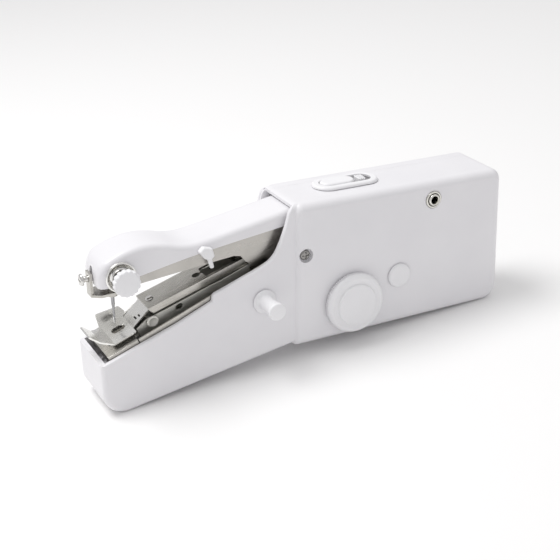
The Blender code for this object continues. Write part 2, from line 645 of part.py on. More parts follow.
def arm_section(x, half, bottom, top, front_radius, back_radius, steps=4):
    """An upside-down tub: flat below, with its own rounding along each upper edge."""
    outline = [(half, bottom)]
    for side, radius in ((1, back_radius), (-1, front_radius)):
        radius = min(radius, half * 0.9, (top - bottom) * 0.7)
        angles = [math.pi / 2 * k / steps for k in range(steps + 1)]
        corner = [(half - radius + radius * math.cos(a), top - radius + radius * math.sin(a)) for a in angles]
        outline += corner if side > 0 else [(-y, z) for y, z in reversed(corner)]
    return [(x, y, z) for y, z in outline + [(-half, bottom)]]


def arm_half_width(x, nose_x, half, nose_radius):
    """Half the arm's width in plan: full along its length and rounded at the nose."""
    into = x - nose_x
    if into >= nose_radius:
        return half
    return half - nose_radius + math.sqrt(nose_radius**2 - (nose_radius - into) ** 2)


def arm_solid(name, inset, down):
    nose, radius = NOSE_X + inset, 5.0 - inset
    stations = [nose + 0.05] + [nose + radius * k / 4 for k in (0.6, 1.3, 2.4, 4.0)]
    stations += [x for x, _ in ARM_TOP if x > stations[-1] + 1.0]
    sections = []
    for x in stations:
        half = arm_half_width(x, nose, ARM_HALF - inset, radius)
        top = level(ARM_TOP, x - inset * 0.6) - inset
        bottom = level(ARM_BOTTOM, x) - down
        sections.append(arm_section(x, half, bottom, top, 2.8 - inset, 5.8 - inset))
    return loft(name, sections)


def build_arm_cover():
    cover = arm_solid("arm_cover", 0.0, 0.0)
    inside = arm_solid("inside", 1.5, 6.0)
    cut(cover, inside)
    cut(cover, box("open_tail", (3.0, -10.5, 50), (6.0, 10.5, 65.0)))
    cut(cover, rod("tension_hole", TENSION_AXIS, 5.0, -14, -9, 24))
    cut(cover, box("nose_slot", (-94, -1.8, 40), (-86, 1.8, 54.4)))
    return finish(cover, "arm_frame", "shell", 50)


def build_arm_channel():
    """The pressed-steel channel that carries the head. Its cheeks deepen at the rear, around the pivot."""
    low = [(-87.0, 45.2), (-70.0, 45.9), (-41.6, 48.2), (-26.0, 49.4), (-22.6, 48.6), (-20.6, 45.8)]
    low += [(-18.6, 44.2), (-18.2, 39.8), (2.0, 39.0)]
    rear = arc(ARM_PIVOT, 6.2, -70, 30, 5)
    high = [(11.5, 58.5), (3.0, 61.1), (-10.0, 59.7), (-25.0, 57.4), (-46.0, 54.6)]
    high += [(-60.0, 57.4), (-70.0, 58.8), (-80.0, 56.6), (-86.0, 53.0)]
    channel = prism("arm_channel", low + rear + high, -CHEEK_HALF, CHEEK_HALF)
    nose = [(-87.5, -4.5), (-82.0, -10.2), (13.5, -10.2), (13.5, 10.2), (-82.0, 10.2), (-87.5, 4.5)]
    plan = prism("plan", nose, 30, 70, "XY")
    boolean(channel, "INTERSECT", [plan])
    inner = CHEEK_HALF - SHEET
    tunnel = [(-90.0, 30.0), (14.0, 30.0), (14.0, 57.4), (3.0, 60.1), (-10.0, 58.7), (-25.0, 56.4)]
    tunnel += [(-46.0, 53.6), (-60.0, 56.4), (-70.0, 57.8), (-80.0, 55.6), (-85.2, 52.4), (-90.0, 50.0)]
    cut(channel, prism("tunnel", tunnel, -inner, inner))
    cut(channel, rod("pivot_bore", ARM_PIVOT, 3.2, -14, 14, 16))
    cut(channel, rod("stud_bore", TENSION_AXIS, 1.5, -14, -6, 10))
    return finish(channel, "arm_frame", "steel")


def build_arm_pivot_sleeve():
    """The spacer tube round the pivot screw, on which the arm swings."""
    profile = [(1.5, -10.4), (2.9, -10.4), (2.9, 10.4), (1.5, 10.4)]
    return finish(turned("arm_pivot_sleeve", profile, ARM_PIVOT, 16), "machine", "brass")


def crank_pin_at_rest():
    """Where the crank pin stands with the arm fully raised: square to the line from the arm's pivot."""
    to_wheel = Vector(WHEEL_AXIS) - Vector(ARM_PIVOT)
    throw = to_wheel.length * math.radians(ARM_SWING) / 2
    side = Vector((to_wheel.y, -to_wheel.x)).normalized()
    return Vector(WHEEL_AXIS) + side * throw


def build_drive_yoke():
    """The arm's rear lever, whose slot the crank pin drives."""
    pin = crank_pin_at_rest()
    along = pin - Vector(ARM_PIVOT)
    angle = math.degrees(math.atan2(along.y, along.x))
    reach = along.length
    frame = sloped(ARM_PIVOT, angle)
    outline = arc((0, 0), 5.6, 110, 250, 6) + [(reach - 8.0, -4.2)]
    outline += arc((reach + 3.4, 0), 4.2, -90, 90, 6) + [(reach - 8.0, 4.2)]
    yoke = prism("drive_yoke", outline, *YOKE_Y, frame=frame)
    tie = [(-3.0, 46.0), (9.0, 46.0), (10.0, 57.7), (2.5, 59.7), (-3.0, 59.0)]
    join(yoke, prism("tie", tie, *YOKE_Y))
    cut(yoke, prism("slot", stadium(reach - 5.6, reach + 5.2, 1.8, 5), 0, 3, frame=frame))
    cut(yoke, rod("bore", ARM_PIVOT, 3.2, 0, 3, 16))
    return finish(yoke, "arm_frame", "steel")


def build_head():
    clamp = box("needle_clamp", (-90.9, -2.8, 40.9), (-89.7, 2.8, 51.8))
    sole = [(-90.9, -2.8), (-87.0, -5.6), (-74.6, -5.6), (-74.6, 5.6), (-87.0, 5.6), (-90.9, 2.8)]
    join(clamp, prism("sole", fillet(sole, [0.5, 2, 1, 1, 2, 0.5]), 40.8, 42.0, "XY"))
    join(clamp, prism("boss", circle((NEEDLE_X, 0), 2.4, 16), 38.6, 44.0, "XY"))
    join(clamp, box("tab", (-75.8, -5.0, 41.4), (-74.7, 5.0, 52.0)))
    cut(clamp, prism("needle_bore", circle((NEEDLE_X, 0), 1.2, 12), 38, 43.4, "XY"))
    cut(clamp, prism("screw_bore", circle((0, 48.8), 1.6, 12), -92, -88, "YZ"))
    finish(clamp, "arm_frame", "steel")

    down = [(0, -24.0), (0.28, -26.2), (0.5, -28.5), (0.5, -33.0), (0.85, -34.0), (0.85, -43.0), (0, -43.0)]
    upright = Matrix.Translation((NEEDLE_X, 0, 0)) @ Matrix.Rotation(math.radians(90), 4, "X")
    needle = turned("needle", down, (0, 0), 12, upright @ Matrix.Rotation(math.radians(180), 4, "X"))
    finish(needle, "arm_frame", "bright_steel")

    lying = Matrix.Translation((0, 0, 48.8)) @ Matrix.Rotation(math.radians(90), 4, "Z")
    head = [(0, 94.8), (2.2, 94.7), (2.8, 94.1), (2.8, 93.4), (1.3, 93.4), (1.3, 86.8), (0, 86.8)]
    set_screw = turned("needle_screw", head, (0, 0), 20, lying)
    for half_y, half_z in ((2.0, 0.4), (0.4, 2.0)):
        cut(set_screw, box("cross", (-96, -half_y, 48.8 - half_z), (-94.1, half_y, 48.8 + half_z)))
    finish(set_screw, "needle_screw_frame", "bright_steel")


def build_tension():
    collar = [(5.2, -12.2), (6.4, -12.2), (6.9, -12.6), (6.7, -13.1), (5.9, -13.2), (5.2, -12.9)]
    finish(turned("tension_collar", collar, TENSION_AXIS, 24), "arm_frame", "bright_steel")
    stud = [(0, -8.2), (2.6, -8.2), (2.6, -9.0), (1.2, -9.0), (1.2, -20.2), (0, -20.4)]
    finish(turned("tension_stud", stud, TENSION_AXIS, 14), "arm_frame", "bright_steel")
    discs = [(1.5, -13.0), (2.2, -13.0), (4.4, -12.2), (4.4, -12.6), (2.2, -13.3), (4.4, -14.0), (4.4, -14.4)]
    discs += [(2.2, -13.7), (1.5, -13.7)]
    finish(turned("tension_discs", discs, TENSION_AXIS, 18), "arm_frame", "bright_steel")
    finish(coil("tension_spring", TENSION_AXIS, 2.4, 0.3, -17.8, -14.6, 3), "arm_frame", "bright_steel")

    lobes, high, low = 14, 6.1, 5.5
    rim = []
    for k in range(lobes * 3):
        angle = 2 * math.pi * k / (lobes * 3)
        reach = low + (high - low) * abs(math.cos(lobes * angle / 2)) ** 0.7
        rim.append((TENSION_AXIS[0] + reach * math.cos(angle), TENSION_AXIS[1] + reach * math.sin(angle)))
    knob = prism("tension_knob", rim, -21.4, -18.2)
    bevel(knob, 0.35, 1, 60)
    cut(knob, rod("bore", TENSION_AXIS, 1.5, -20.8, -16, 12))
    finish(knob, "tension_knob_frame", "shell")


def build_thread_guide():
    wedge = [(-44.4, 56.4), (-42.0, 58.4), (-38.0, 57.2), (-37.0, 53.4), (-39.2, 51.6), (-41.8, 52.8)]
    guide = prism("thread_guide", fillet(wedge, [0.8] * 6, 2), -15.4, -12.3)
    bevel(guide, 0.5, 2, 60)
    stem = [(-40.4, 53.0), (-38.9, 47.4), (-37.1, 47.4), (-38.2, 53.0)]
    join(guide, prism("stem", stem, -14.0, -12.4))
    return finish(guide, "arm_frame", "shell")


# ---------------------------------------------------------------- drive train
def gear(name, centre, teeth, phase, layer, bore):
    made = prism(name, gear_outline(centre, teeth, phase), *layer)
    return cut(made, rod("bore", centre, bore, layer[0] - 1, layer[1] + 1, 14))


def build_wheel():
    rim = [(2.5, -18.0), (13.4, -18.0), (14.6, -18.6), (14.6, -21.0), (14.0, -22.2)]
    rim += [(12.8, -22.7), (10.2, -22.7), (9.9, -23.2), (9.4, -23.4), (0, -23.4), (0, -21.3), (2.5, -21.3)]
    finish(turned("handwheel", rim, WHEEL_AXIS, 48), "wheel_frame", "shell", 25)
    finish(rod("main_shaft", WHEEL_AXIS, 2.2, -21.0, -1.6, 16), "wheel_frame", "bright_steel")
    phase = math.degrees(math.atan2(IDLER_AXIS[1] - WHEEL_AXIS[1], IDLER_AXIS[0] - WHEEL_AXIS[0]))
    finish(gear("main_gear", WHEEL_AXIS, MAIN_TEETH, phase, LAYER_A, 2.5), "wheel_frame", "nylon")
    crank = rod("crank_disc", WHEEL_AXIS, 6.0, -3.6, -1.0, 24)
    pin = crank_pin_at_rest()
    join(crank, rod("pin", pin, 1.5, -1.5, YOKE_Y[0] - 0.5, 14))
    cut(crank, rod("bore", WHEEL_AXIS, 2.5, -4, -1.3, 16))
    finish(crank, "wheel_frame", "dark_steel")
    return phase


def build_gears(main_phase):
    small_phase = meshing_phase(WHEEL_AXIS, MAIN_TEETH, main_phase, IDLER_AXIS, IDLER_SMALL_TEETH)
    idler = prism("idler_gear", gear_outline(IDLER_AXIS, IDLER_LARGE_TEETH, 0), *LAYER_B)
    small = gear_outline(IDLER_AXIS, IDLER_SMALL_TEETH, small_phase)
    join(idler, prism("small", small, LAYER_A[0], LAYER_B[0] + 0.5))
    cut(idler, rod("bore", IDLER_AXIS, 1.8, -14, 0, 12))
    finish(idler, "idler_frame", "nylon")

    for name, centre, teeth, frame in (
        ("motor_pinion", MOTOR_AXIS, PINION_TEETH, "rotor_frame"),
        ("winder_gear", WINDER_AXIS, WINDER_TEETH, "winder_frame"),
    ):
        phase = meshing_phase(IDLER_AXIS, IDLER_LARGE_TEETH, 0, centre, teeth)
        bore = 1.3 if name == "motor_pinion" else 1.8
        look = "brass" if name == "motor_pinion" else "nylon"
        finish(gear(name, centre, teeth, phase, LAYER_B, bore), frame, look)


def build_winder():
    finish(rod("winder_shaft", WINDER_AXIS, 1.5, -17.6, -3.2, 12), "winder_frame", "bright_steel")
    cap = [(0, -19.1), (4.8, -19.1), (5.6, -18.8), (6.0, -18.2), (6.0, -17.8), (1.8, -17.8)]
    cap += [(1.8, -18.3), (0, -18.3)]
    finish(turned("winder_cap", cap, WINDER_AXIS, 24), "winder_frame", "shell")


def build_motor():
    can = [(1.4, -4.0), (3.0, -4.0), (9.4, -3.7), (10.2, -3.0), (10.2, 12.2), (9.6, 13.0), (1.4, 13.0)]
    finish(turned("motor", can, MOTOR_AXIS, 28), "machine", "steel")
    finish(rod("motor_shaft", MOTOR_AXIS, 1.0, -9.8, 13.6, 12), "rotor_frame", "bright_steel")
    plate = [(14.0, 7.0), (44.0, 7.0), (58.0, 9.0), (63.0, 14.0), (62.0, 30.0), (56.0, 42.0)]
    plate += [(55.0, 60.0), (29.0, 61.0), (17.0, 44.0), (14.0, 34.0)]
    mount = prism("gear_plate", fillet(plate, [3] * len(plate)), *PLATE_Y)
    holes = ((WHEEL_AXIS, 2.5), (WINDER_AXIS, 1.8), (MOTOR_AXIS, 3.2))
    for centre, radius in holes:
        cut(mount, rod("hole", centre, radius, -7, -3, 14))
    for screw_at in REAR_SCREWS[1:3]:
        cut(mount, rod("notch", screw_at, 3.7, -7, -3, 14))
    join(mount, rod("idler_axle", IDLER_AXIS, 1.5, -15.2, PLATE_Y[1] + 1.0, 12))
    finish(mount, "machine", "dark_steel")


# ---------------------------------------------------------------- electrics
def build_switch():
    outer = stadium(SWITCH_START, SWITCH_END, 7.6, 8)
    bezel = prism("switch_bezel", outer, GAP, 1.7, "XY", TOP)
    bevel(bezel, 0.9, 2, 60)
    inner = stadium(SWITCH_START + 3.4, SWITCH_END - 3.4, 4.6, 6)
    cut(bezel, prism("inside", inner, 0, 3, "XY", TOP))
    finish(bezel, "machine", "shell")

    button = prism("power_button", stadium(SWITCH_START + 3.8, BUTTON_END, 4.2, 6), -1.6, 2.3, "XY", TOP)
    bevel(button, 0.7, 2, 60)
    join(button, prism("plunger", circle((PLUNGER_X, 0.0), 1.6, 10), -3.6, -1.0, "XY", TOP))
    finish(button, "button_frame", "shell")

    x0, x1 = LOCK
    tab = fillet([(x0, -2.8), (x1, -2.8), (x1, 2.8), (x0, 2.8)], [0.8] * 4)
    lock = prism("lock_slider", tab, -1.2, 2.0, "XY", TOP)
    for start in (x0 + 1.0, x0 + 2.4):
        cut(lock, box("rib", (start, -4, 1.5), (start + 0.6, 4, 3), TOP))
    finish(lock, "lock_frame", "shell")

    body = box("switch_body", (PLUNGER_X - 7.0, -4.4, -7.6), (PLUNGER_X + 7.0, 4.4, -5.8), TOP)
    join(body, box("nub", (PLUNGER_X - 1.0, -1.0, -6.0), (PLUNGER_X + 1.0, 1.0, -5.0), TOP))
    finish(body, "machine", "black")
    upright = TOP @ Matrix.Translation((PLUNGER_X, 0, 0)) @ Matrix.Rotation(math.radians(90), 4, "X")
    finish(coil("button_spring", (0, 0), 2.5, 0.3, -5.6, -2.0, 3, upright), "machine", "bright_steel")


def build_jack():
    collar = [(1.8, -18.3), (2.6, -18.3), (3.0, -17.9), (3.0, -14.6), (1.8, -14.6)]
    finish(turned("jack_barrel", collar, JACK_AXIS, 24), "machine", "bright_steel")
    nut = [(3.3, -18.0), (3.9, -18.0), (4.1, -17.8), (4.1, -17.3), (3.3, -17.3)]
    finish(turned("jack_nut", nut, JACK_AXIS, 24), "machine", "chrome")
    x, z = JACK_AXIS
    body = box("jack_body", (x - 4.5, -14.2, z - 5.0), (x + 6.0, -3.5, z + 4.0))
    cut(body, rod("socket", JACK_AXIS, 1.7, -15, -5, 16))
    finish(body, "machine", "black")


def build_batteries():
    for number, z in enumerate(BATTERY_Z, 1):
        length, nub = BATTERY_LENGTH, 2.6
        profile = [(0, 0), (nub, 0), (nub, 1.0), (BATTERY_RADIUS, 1.0)]
        profile += [(BATTERY_RADIUS, length), (0, length)]
        turn, start = (-90, BATTERY_START) if number % 2 else (90, BATTERY_START + length)
        lying = Matrix.Translation((start, BATTERY_Y, z)) @ Matrix.Rotation(math.radians(turn), 4, "Z")
        finish(turned(f"battery_{number}", profile, (0, 0), 16, lying), "machine", "battery")
    left, right = BATTERY_START - 0.4, BATTERY_START + BATTERY_LENGTH + 0.3
    for name, x in (("battery_contact_inner", left - 0.6), ("battery_contact_outer", right)):
        plate = box(name, (x, 2.0, 4.0), (x + 0.6, 14.0, 60.0))
        cut(plate, box("split", (x - 1, 1.0, 30.8), (x + 1.6, 13.0, 32.4)))
        finish(plate, "machine", "bright_steel")


def build_spool_pin():
    pin = [(0, -14.4), (1.8, -14.4), (1.8, -16.2), (5.4, -16.3), (5.6, -16.8), (5.2, -17.4)]
    pin += [(3.9, -17.9), (3.5, -19.0), (3.5, -27.1), (2.2, -27.1), (2.2, -28.9), (0, -28.9)]
    finish(turned("spool_pin", pin, SPOOL_AXIS, 20), "machine", "shell")
    cap = [(2.5, -27.4), (3.8, -27.4), (4.1, -27.9), (4.1, -29.7), (3.7, -30.2), (0, -30.2)]
    cap += [(0, -29.2), (2.5, -29.2)]
    finish(turned("spool_cap", cap, SPOOL_AXIS, 24), "spool_cap_frame", "shell")


# ---------------------------------------------------------------- the machine
def build_frames():
    new_frame("machine")
    for name, (x, z) in (
        ("arm_frame", ARM_PIVOT),
        ("wheel_frame", WHEEL_AXIS),
        ("idler_frame", IDLER_AXIS),
        ("rotor_frame", MOTOR_AXIS),
        ("winder_frame", WINDER_AXIS),
        ("presser_frame", PRESSER_PIVOT),
        ("looper_axis_frame", LOOPER_PIVOT),
        ("feed_frame", RIM_START),
        ("battery_door_frame", (DOOR[0], DOOR[2])),
        ("spool_cap_frame", SPOOL_AXIS),
    ):
        new_frame(name, (x, 0, z), "machine")
    for name, along in (("button_frame", PLUNGER_X), ("lock_frame", sum(LOCK) / 2)):
        new_frame(name, TOP @ Vector((along, 0, 0)), "machine")
    new_frame("tension_knob_frame", (TENSION_AXIS[0], 0, TENSION_AXIS[1]), "arm_frame")
    new_frame("needle_screw_frame", (-93.4, 0, 48.8), "arm_frame")


def stand_up():
    """Leans the machine on nose and heel, with the origin on the table below its middle."""
    machine = FRAMES["machine"][0]
    machine.rotation_euler = (0, math.radians(STAND_LEAN), 0)
    machine.location = Vector(STAND_SHIFT) * MM


def main():
    for old in list(bpy.data.objects):
        bpy.data.objects.remove(old)
    LOOKS.update(
        {
            "shell": material("white_plastic", (0.86, 0.86, 0.87), 0.42),
            "steel": material("pressed_steel", (0.62, 0.61, 0.58), 0.32, 1.0),
            "bright_steel": material("bright_steel", (0.80, 0.79, 0.76), 0.2, 1.0),
            "dark_steel": material("dark_steel", (0.30, 0.30, 0.30), 0.4, 1.0),
            "chrome": material("chrome_ring", (0.85, 0.85, 0.84), 0.12, 1.0),
            "brass": material("brass", (0.78, 0.60, 0.30), 0.3, 1.0),
            "nylon": material("gear_nylon", (0.88, 0.86, 0.80), 0.5),
            "black": material("black_plastic", (0.03, 0.03, 0.03), 0.5),
            "battery": material("battery_sleeve", (0.10, 0.12, 0.14), 0.35),
        }
    )
    build_frames()
    build_front_housing()
    build_rear_cover()
    build_battery_door()
    build_fasteners()
    build_base_channel()
    build_looper_frame()
    build_needle_plate()
    build_feed_dog()
    build_looper()
    build_jaw_pins()
    build_presser_lever()
    build_presser_foot()
    build_foot_rivet()
    build_arm_cover()
    build_arm_channel()
    build_arm_pivot_sleeve()
    build_drive_yoke()
    build_head()
    build_tension()
    build_thread_guide()
    build_gears(build_wheel())
    build_winder()
    build_motor()
    build_switch()
    build_jack()
    build_batteries()
    build_spool_pin()
    stand_up()


LOOKS = {}
main()
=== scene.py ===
import math

import bmesh
import bpy
from mathutils import Matrix, Vector


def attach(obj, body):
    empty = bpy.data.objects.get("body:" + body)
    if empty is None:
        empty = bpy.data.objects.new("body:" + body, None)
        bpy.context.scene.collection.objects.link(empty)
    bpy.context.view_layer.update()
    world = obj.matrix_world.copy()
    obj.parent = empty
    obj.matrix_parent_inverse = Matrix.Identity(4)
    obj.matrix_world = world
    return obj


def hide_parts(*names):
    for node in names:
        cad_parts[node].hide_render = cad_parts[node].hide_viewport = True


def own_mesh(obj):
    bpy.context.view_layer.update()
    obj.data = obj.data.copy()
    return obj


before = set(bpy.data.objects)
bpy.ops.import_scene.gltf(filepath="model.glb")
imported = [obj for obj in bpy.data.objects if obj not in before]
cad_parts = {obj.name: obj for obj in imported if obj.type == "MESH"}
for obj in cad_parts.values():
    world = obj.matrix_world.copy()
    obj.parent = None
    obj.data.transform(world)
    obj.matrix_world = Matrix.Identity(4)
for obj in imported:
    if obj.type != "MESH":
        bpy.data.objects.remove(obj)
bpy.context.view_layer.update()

# ---------------------------------------------------------------- the machine's own frame, in mm
# X from the nose to the handle's end, Y from the handwheel's face to the back, Z up.
MM = 0.001
STAND_LEAN = 3.5802  # degrees
STAND_SHIFT = (-11.475, 6.35, 6.5802)
HANDLE_LENGTH = 113.4
HANDLE_HEIGHT = 70.0
HANDLE_END_HEIGHT = 67.8
HANDLE_HALF = 17.5
JAW_HALF = 16.0
WALL = 2.0
SEAM_Y = 9.0
SEAM_GAP = 0.08
FLUSH = 0.05
ARM_PIVOT = (6.7, 45.1)
ARM_HALF = 12.0
NEEDLE_X = -80.5
TENSION_AXIS = (-79.9, 51.8)
WHEEL_AXIS = (30.2, 17.5)
WINDER_AXIS = (55.6, 25.0)
SPOOL_AXIS = (-14.5, 27.0)
JACK_AXIS = (74.3, 59.5)
LOOPER_PIVOT = (-66.1, 26.4)
SWITCH_START, SWITCH_END = 18.0, 51.2
BUTTON_END, PLUNGER_X, LOCK = 39.0, 30.0, (40.6, 44.4)
REAR_SCREWS = ((6.2, 8.4), (47.6, 7.3), (50.8, 61.0), (-82.7, 1.2))
DOOR = (58.5, 107.5, 5.0, 62.0)
SHEET = 0.8
GAP = 0.3

MACHINE = Matrix.Translation(Vector(STAND_SHIFT) * MM) @ Matrix.Rotation(math.radians(STAND_LEAN), 4, "Y")
MACHINE = MACHINE @ Matrix.Scale(MM, 4)
IDENTITY = Matrix.Identity(4)


def sloped(origin, angle):
    """A frame at origin (x, z) whose X rises by angle degrees."""
    return Matrix.Translation((origin[0], 0, origin[1])) @ Matrix.Rotation(-math.radians(angle), 4, "Y")


LEVER = sloped((-67.1, 32.1), 16.8)
TOP_FALL = math.degrees(math.atan((HANDLE_HEIGHT - HANDLE_END_HEIGHT) / (HANDLE_LENGTH - 2)))
TOP = sloped((1.8, HANDLE_HEIGHT), -TOP_FALL)
UPRIGHT = Matrix.Rotation(math.radians(90), 4, "X")  # turns a profile's Y axis to point up


def top_height(x):
    """The height of the handle's top face at x."""
    return HANDLE_HEIGHT - (x - 1.8) * math.tan(math.radians(TOP_FALL))


# ---------------------------------------------------------------- materials
class Nodes:
    """A material's node tree with short calls for the nodes that the looks share."""

    def __init__(self, name):
        self.material = bpy.data.materials.new(name)
        self.material.use_nodes = True
        self.tree = self.material.node_tree
        self.shader = self.tree.nodes["Principled BSDF"]
        self.coordinates = self.add("ShaderNodeTexCoord").outputs["Object"]

    def add(self, kind, **values):
        node = self.tree.nodes.new(kind)
        for key, value in values.items():
            setattr(node, key, value)
        return node

    def link(self, out, into):
        self.tree.links.new(out, into)

    def noise(self, scale, detail=4.0, roughness=0.5, stretch=None):
        """Noise over the surface. Stretch draws it out along an axis, as brushing does."""
        made = self.add("ShaderNodeTexNoise")
        made.inputs["Scale"].default_value = scale
        made.inputs["Detail"].default_value = detail
        made.inputs["Roughness"].default_value = roughness
        source = self.coordinates
        if stretch:
            mapping = self.add("ShaderNodeMapping")
            mapping.inputs["Scale"].default_value = stretch
            self.link(source, mapping.inputs["Vector"])
            source = mapping.outputs["Vector"]
        self.link(source, made.inputs["Vector"])
        return made.outputs["Fac"]

    def spread(self, value, low, high, start=0.3, end=0.7):
        """The value's range from start to end, spread over low to high."""
        made = self.add("ShaderNodeMapRange")
        made.inputs["From Min"].default_value = start
        made.inputs["From Max"].default_value = end
        made.inputs["To Min"].default_value = low
        made.inputs["To Max"].default_value = high
        self.link(value, made.inputs["Value"])
        return made.outputs["Result"]

    def blend(self, factor, first, second):
        """A colour between first and second, which are colours or sockets."""
        made = self.add("ShaderNodeMix", data_type="RGBA")
        for value, socket in ((first, made.inputs[6]), (second, made.inputs[7])):
            if isinstance(value, tuple):
                socket.default_value = (*value, 1.0)
            else:
                self.link(value, socket)
        self.link(factor, made.inputs[0])
        return made.outputs[2]

    def edges(self, radius):
        """From 0 on open surfaces to 1 along edges, within the radius in mm."""
        rounded = self.add("ShaderNodeBevel", samples=4)
        rounded.inputs["Radius"].default_value = radius * MM
        along = self.add("ShaderNodeVectorMath", operation="DOT_PRODUCT")
        self.link(rounded.outputs["Normal"], along.inputs[0])
        self.link(self.add("ShaderNodeNewGeometry").outputs["Normal"], along.inputs[1])
        return self.spread(along.outputs["Value"], 1.0, 0.0, 0.72, 0.98)

    def bumps(self, *heights):
        """Heights as (value, distance in mm, strength), each on top of the last."""
        normal = None
        for value, distance, strength in heights:
            made = self.add("ShaderNodeBump")
            made.inputs["Distance"].default_value = distance * MM
            made.inputs["Strength"].default_value = strength
            self.link(value, made.inputs["Height"])
            if normal:
                self.link(normal, made.inputs["Normal"])
            normal = made.outputs["Normal"]
        self.link(normal, self.shader.inputs["Normal"])

    def set(self, **values):
        for key, value in values.items():
            self.shader.inputs[key.replace("_", " ")].default_value = value


def plastic(name, colour, shade, roughness, grain, coat=0.0):
    """Moulded plastic: a faint mottle, a fine spark-eroded grain, and edges painted lighter, a painted
    highlight that partly stands for polish from handling.
    """
    made = Nodes(name)
    mottle = made.noise(38.0, 3.0)
    body = made.blend(made.spread(mottle, 0.0, 1.0, 0.35, 0.65), colour, shade)
    # Lighter colour along every edge: painted highlight, partly standing for polish from handling.
    polish_and_highlight_edges = made.edges(0.35)
    bright = tuple(min(1.0, c * 1.05 + 0.01) for c in colour)
    made.link(made.blend(polish_and_highlight_edges, body, bright), made.shader.inputs["Base Color"])
    smear = made.spread(made.noise(95.0, 5.0, 0.6), roughness - 0.05, roughness + 0.06)
    made.link(smear, made.shader.inputs["Roughness"])
    fine = made.noise(2600.0, 2.0)
    made.bumps((fine, 0.02, grain), (made.noise(160.0, 2.0), 0.03, 0.06))
    made.set(IOR=1.5, Coat_Weight=coat, Coat_Roughness=0.25)
    return made.material


def metal(name, colour, shade, roughness, stretch, scratch=0.25, wear=0.5):
    """Sheet or turned metal: brushed along one axis, with clouding and rubbed edges."""
    made = Nodes(name)
    brushed = made.noise(900.0, 4.0, 0.6, stretch)
    cloud = made.noise(120.0, 4.0)
    tone = made.blend(made.spread(cloud, 0.0, 1.0, 0.3, 0.7), colour, shade)
    tone = made.blend(made.spread(brushed, 0.0, 0.35), tone, tuple(min(1.0, c * 1.15) for c in colour))
    rubbed = made.edges(0.2)
    edge = made.add("ShaderNodeMath", operation="MULTIPLY")
    made.link(rubbed, edge.inputs[0])
    edge.inputs[1].default_value = wear
    made.link(made.blend(edge.outputs[0], tone, (0.86, 0.85, 0.82)), made.shader.inputs["Base Color"])
    rough = made.spread(brushed, roughness - 0.06, roughness + 0.1)
    made.link(rough, made.shader.inputs["Roughness"])
    made.bumps((brushed, 0.01, scratch), (made.noise(260.0, 3.0), 0.02, 0.08))
    made.set(Metallic=1.0, IOR=2.5)
    return made.material


def battery_sleeve():
    """Printed shrink sleeve: dark body with a plain copper-coloured band at one end."""
    made = Nodes("battery_sleeve_look")
    split = made.add("ShaderNodeSeparateXYZ")
    made.link(made.coordinates, split.inputs[0])
    band = made.spread(split.outputs["X"], 0.0, 1.0, 0.078, 0.0785)
    tone = made.blend(made.noise(60.0), (0.035, 0.04, 0.05), (0.05, 0.055, 0.065))
    made.link(made.blend(band, tone, (0.55, 0.33, 0.16)), made.shader.inputs["Base Color"])
    made.link(made.spread(made.noise(150.0), 0.22, 0.34), made.shader.inputs["Roughness"])
    made.bumps((made.noise(400.0, 3.0), 0.02, 0.15))
    made.set(Metallic=0.3, Coat_Weight=0.4, Coat_Roughness=0.2)
    return made.material


ALONG_X, ALONG_Y, ALONG_Z = (0.05, 1.0, 1.0), (1.0, 0.05, 1.0), (1.0, 1.0, 0.05)
SHELL = plastic("shell_white", (0.84, 0.83, 0.85), (0.815, 0.805, 0.828), 0.33, 0.10, 0.12)
KNOBS = plastic("knob_white", (0.88, 0.875, 0.89), (0.85, 0.845, 0.86), 0.36, 0.12, 0.1)
NYLON = plastic("gear_nylon_look", (0.80, 0.775, 0.70), (0.74, 0.71, 0.64), 0.42, 0.2)
BLACK = plastic("black_plastic_look", (0.022, 0.022, 0.024), (0.03, 0.03, 0.032), 0.45, 0.3)
SHEET_STEEL = metal("sheet_steel", (0.56, 0.545, 0.51), (0.47, 0.455, 0.42), 0.27, ALONG_X)
ARM_STEEL = metal("arm_steel", (0.52, 0.50, 0.47), (0.45, 0.435, 0.41), 0.3, ALONG_X)
FOOT_STEEL = metal("foot_steel", (0.88, 0.875, 0.85), (0.82, 0.81, 0.78), 0.22, ALONG_X, 0.05, 0.4)
BRIGHT = metal("bright_steel_look", (0.74, 0.73, 0.71), (0.66, 0.65, 0.63), 0.17, ALONG_Y, 0.1, 0.4)
DARK = metal("dark_steel_look", (0.20, 0.195, 0.19), (0.14, 0.135, 0.13), 0.36, ALONG_X)
FRAME_STEEL = metal("frame_steel", (0.74, 0.73, 0.69), (0.62, 0.61, 0.57), 0.5, ALONG_X, 0.3)
NEEDLE = metal("needle_steel", (0.42, 0.42, 0.43), (0.36, 0.36, 0.37), 0.24, ALONG_Z, 0.02, 0.2)
SCREW = metal("screw_steel", (0.36, 0.35, 0.34), (0.27, 0.26, 0.25), 0.3, ALONG_Z, 0.1)
NICKEL = metal("nickel_ring", (0.78, 0.765, 0.72), (0.68, 0.665, 0.62), 0.14, ALONG_Y, 0.06, 0.3)
BRASS = metal("brass_look", (0.70, 0.50, 0.22), (0.58, 0.40, 0.17), 0.28, ALONG_Y)
SLEEVE = battery_sleeve()


# ---------------------------------------------------------------- outlines
def arc(centre, radius, start, end, steps):
    """Points on a circle from start to end degrees, both included."""
    angles = [math.radians(start + (end - start) * i / steps) for i in range(steps + 1)]
    return [(centre[0] + radius * math.cos(a), centre[1] + radius * math.sin(a)) for a in angles]


def circle(centre, radius, sides=48):
    return arc(centre, radius, 0, 360 - 360 / sides, sides - 1)


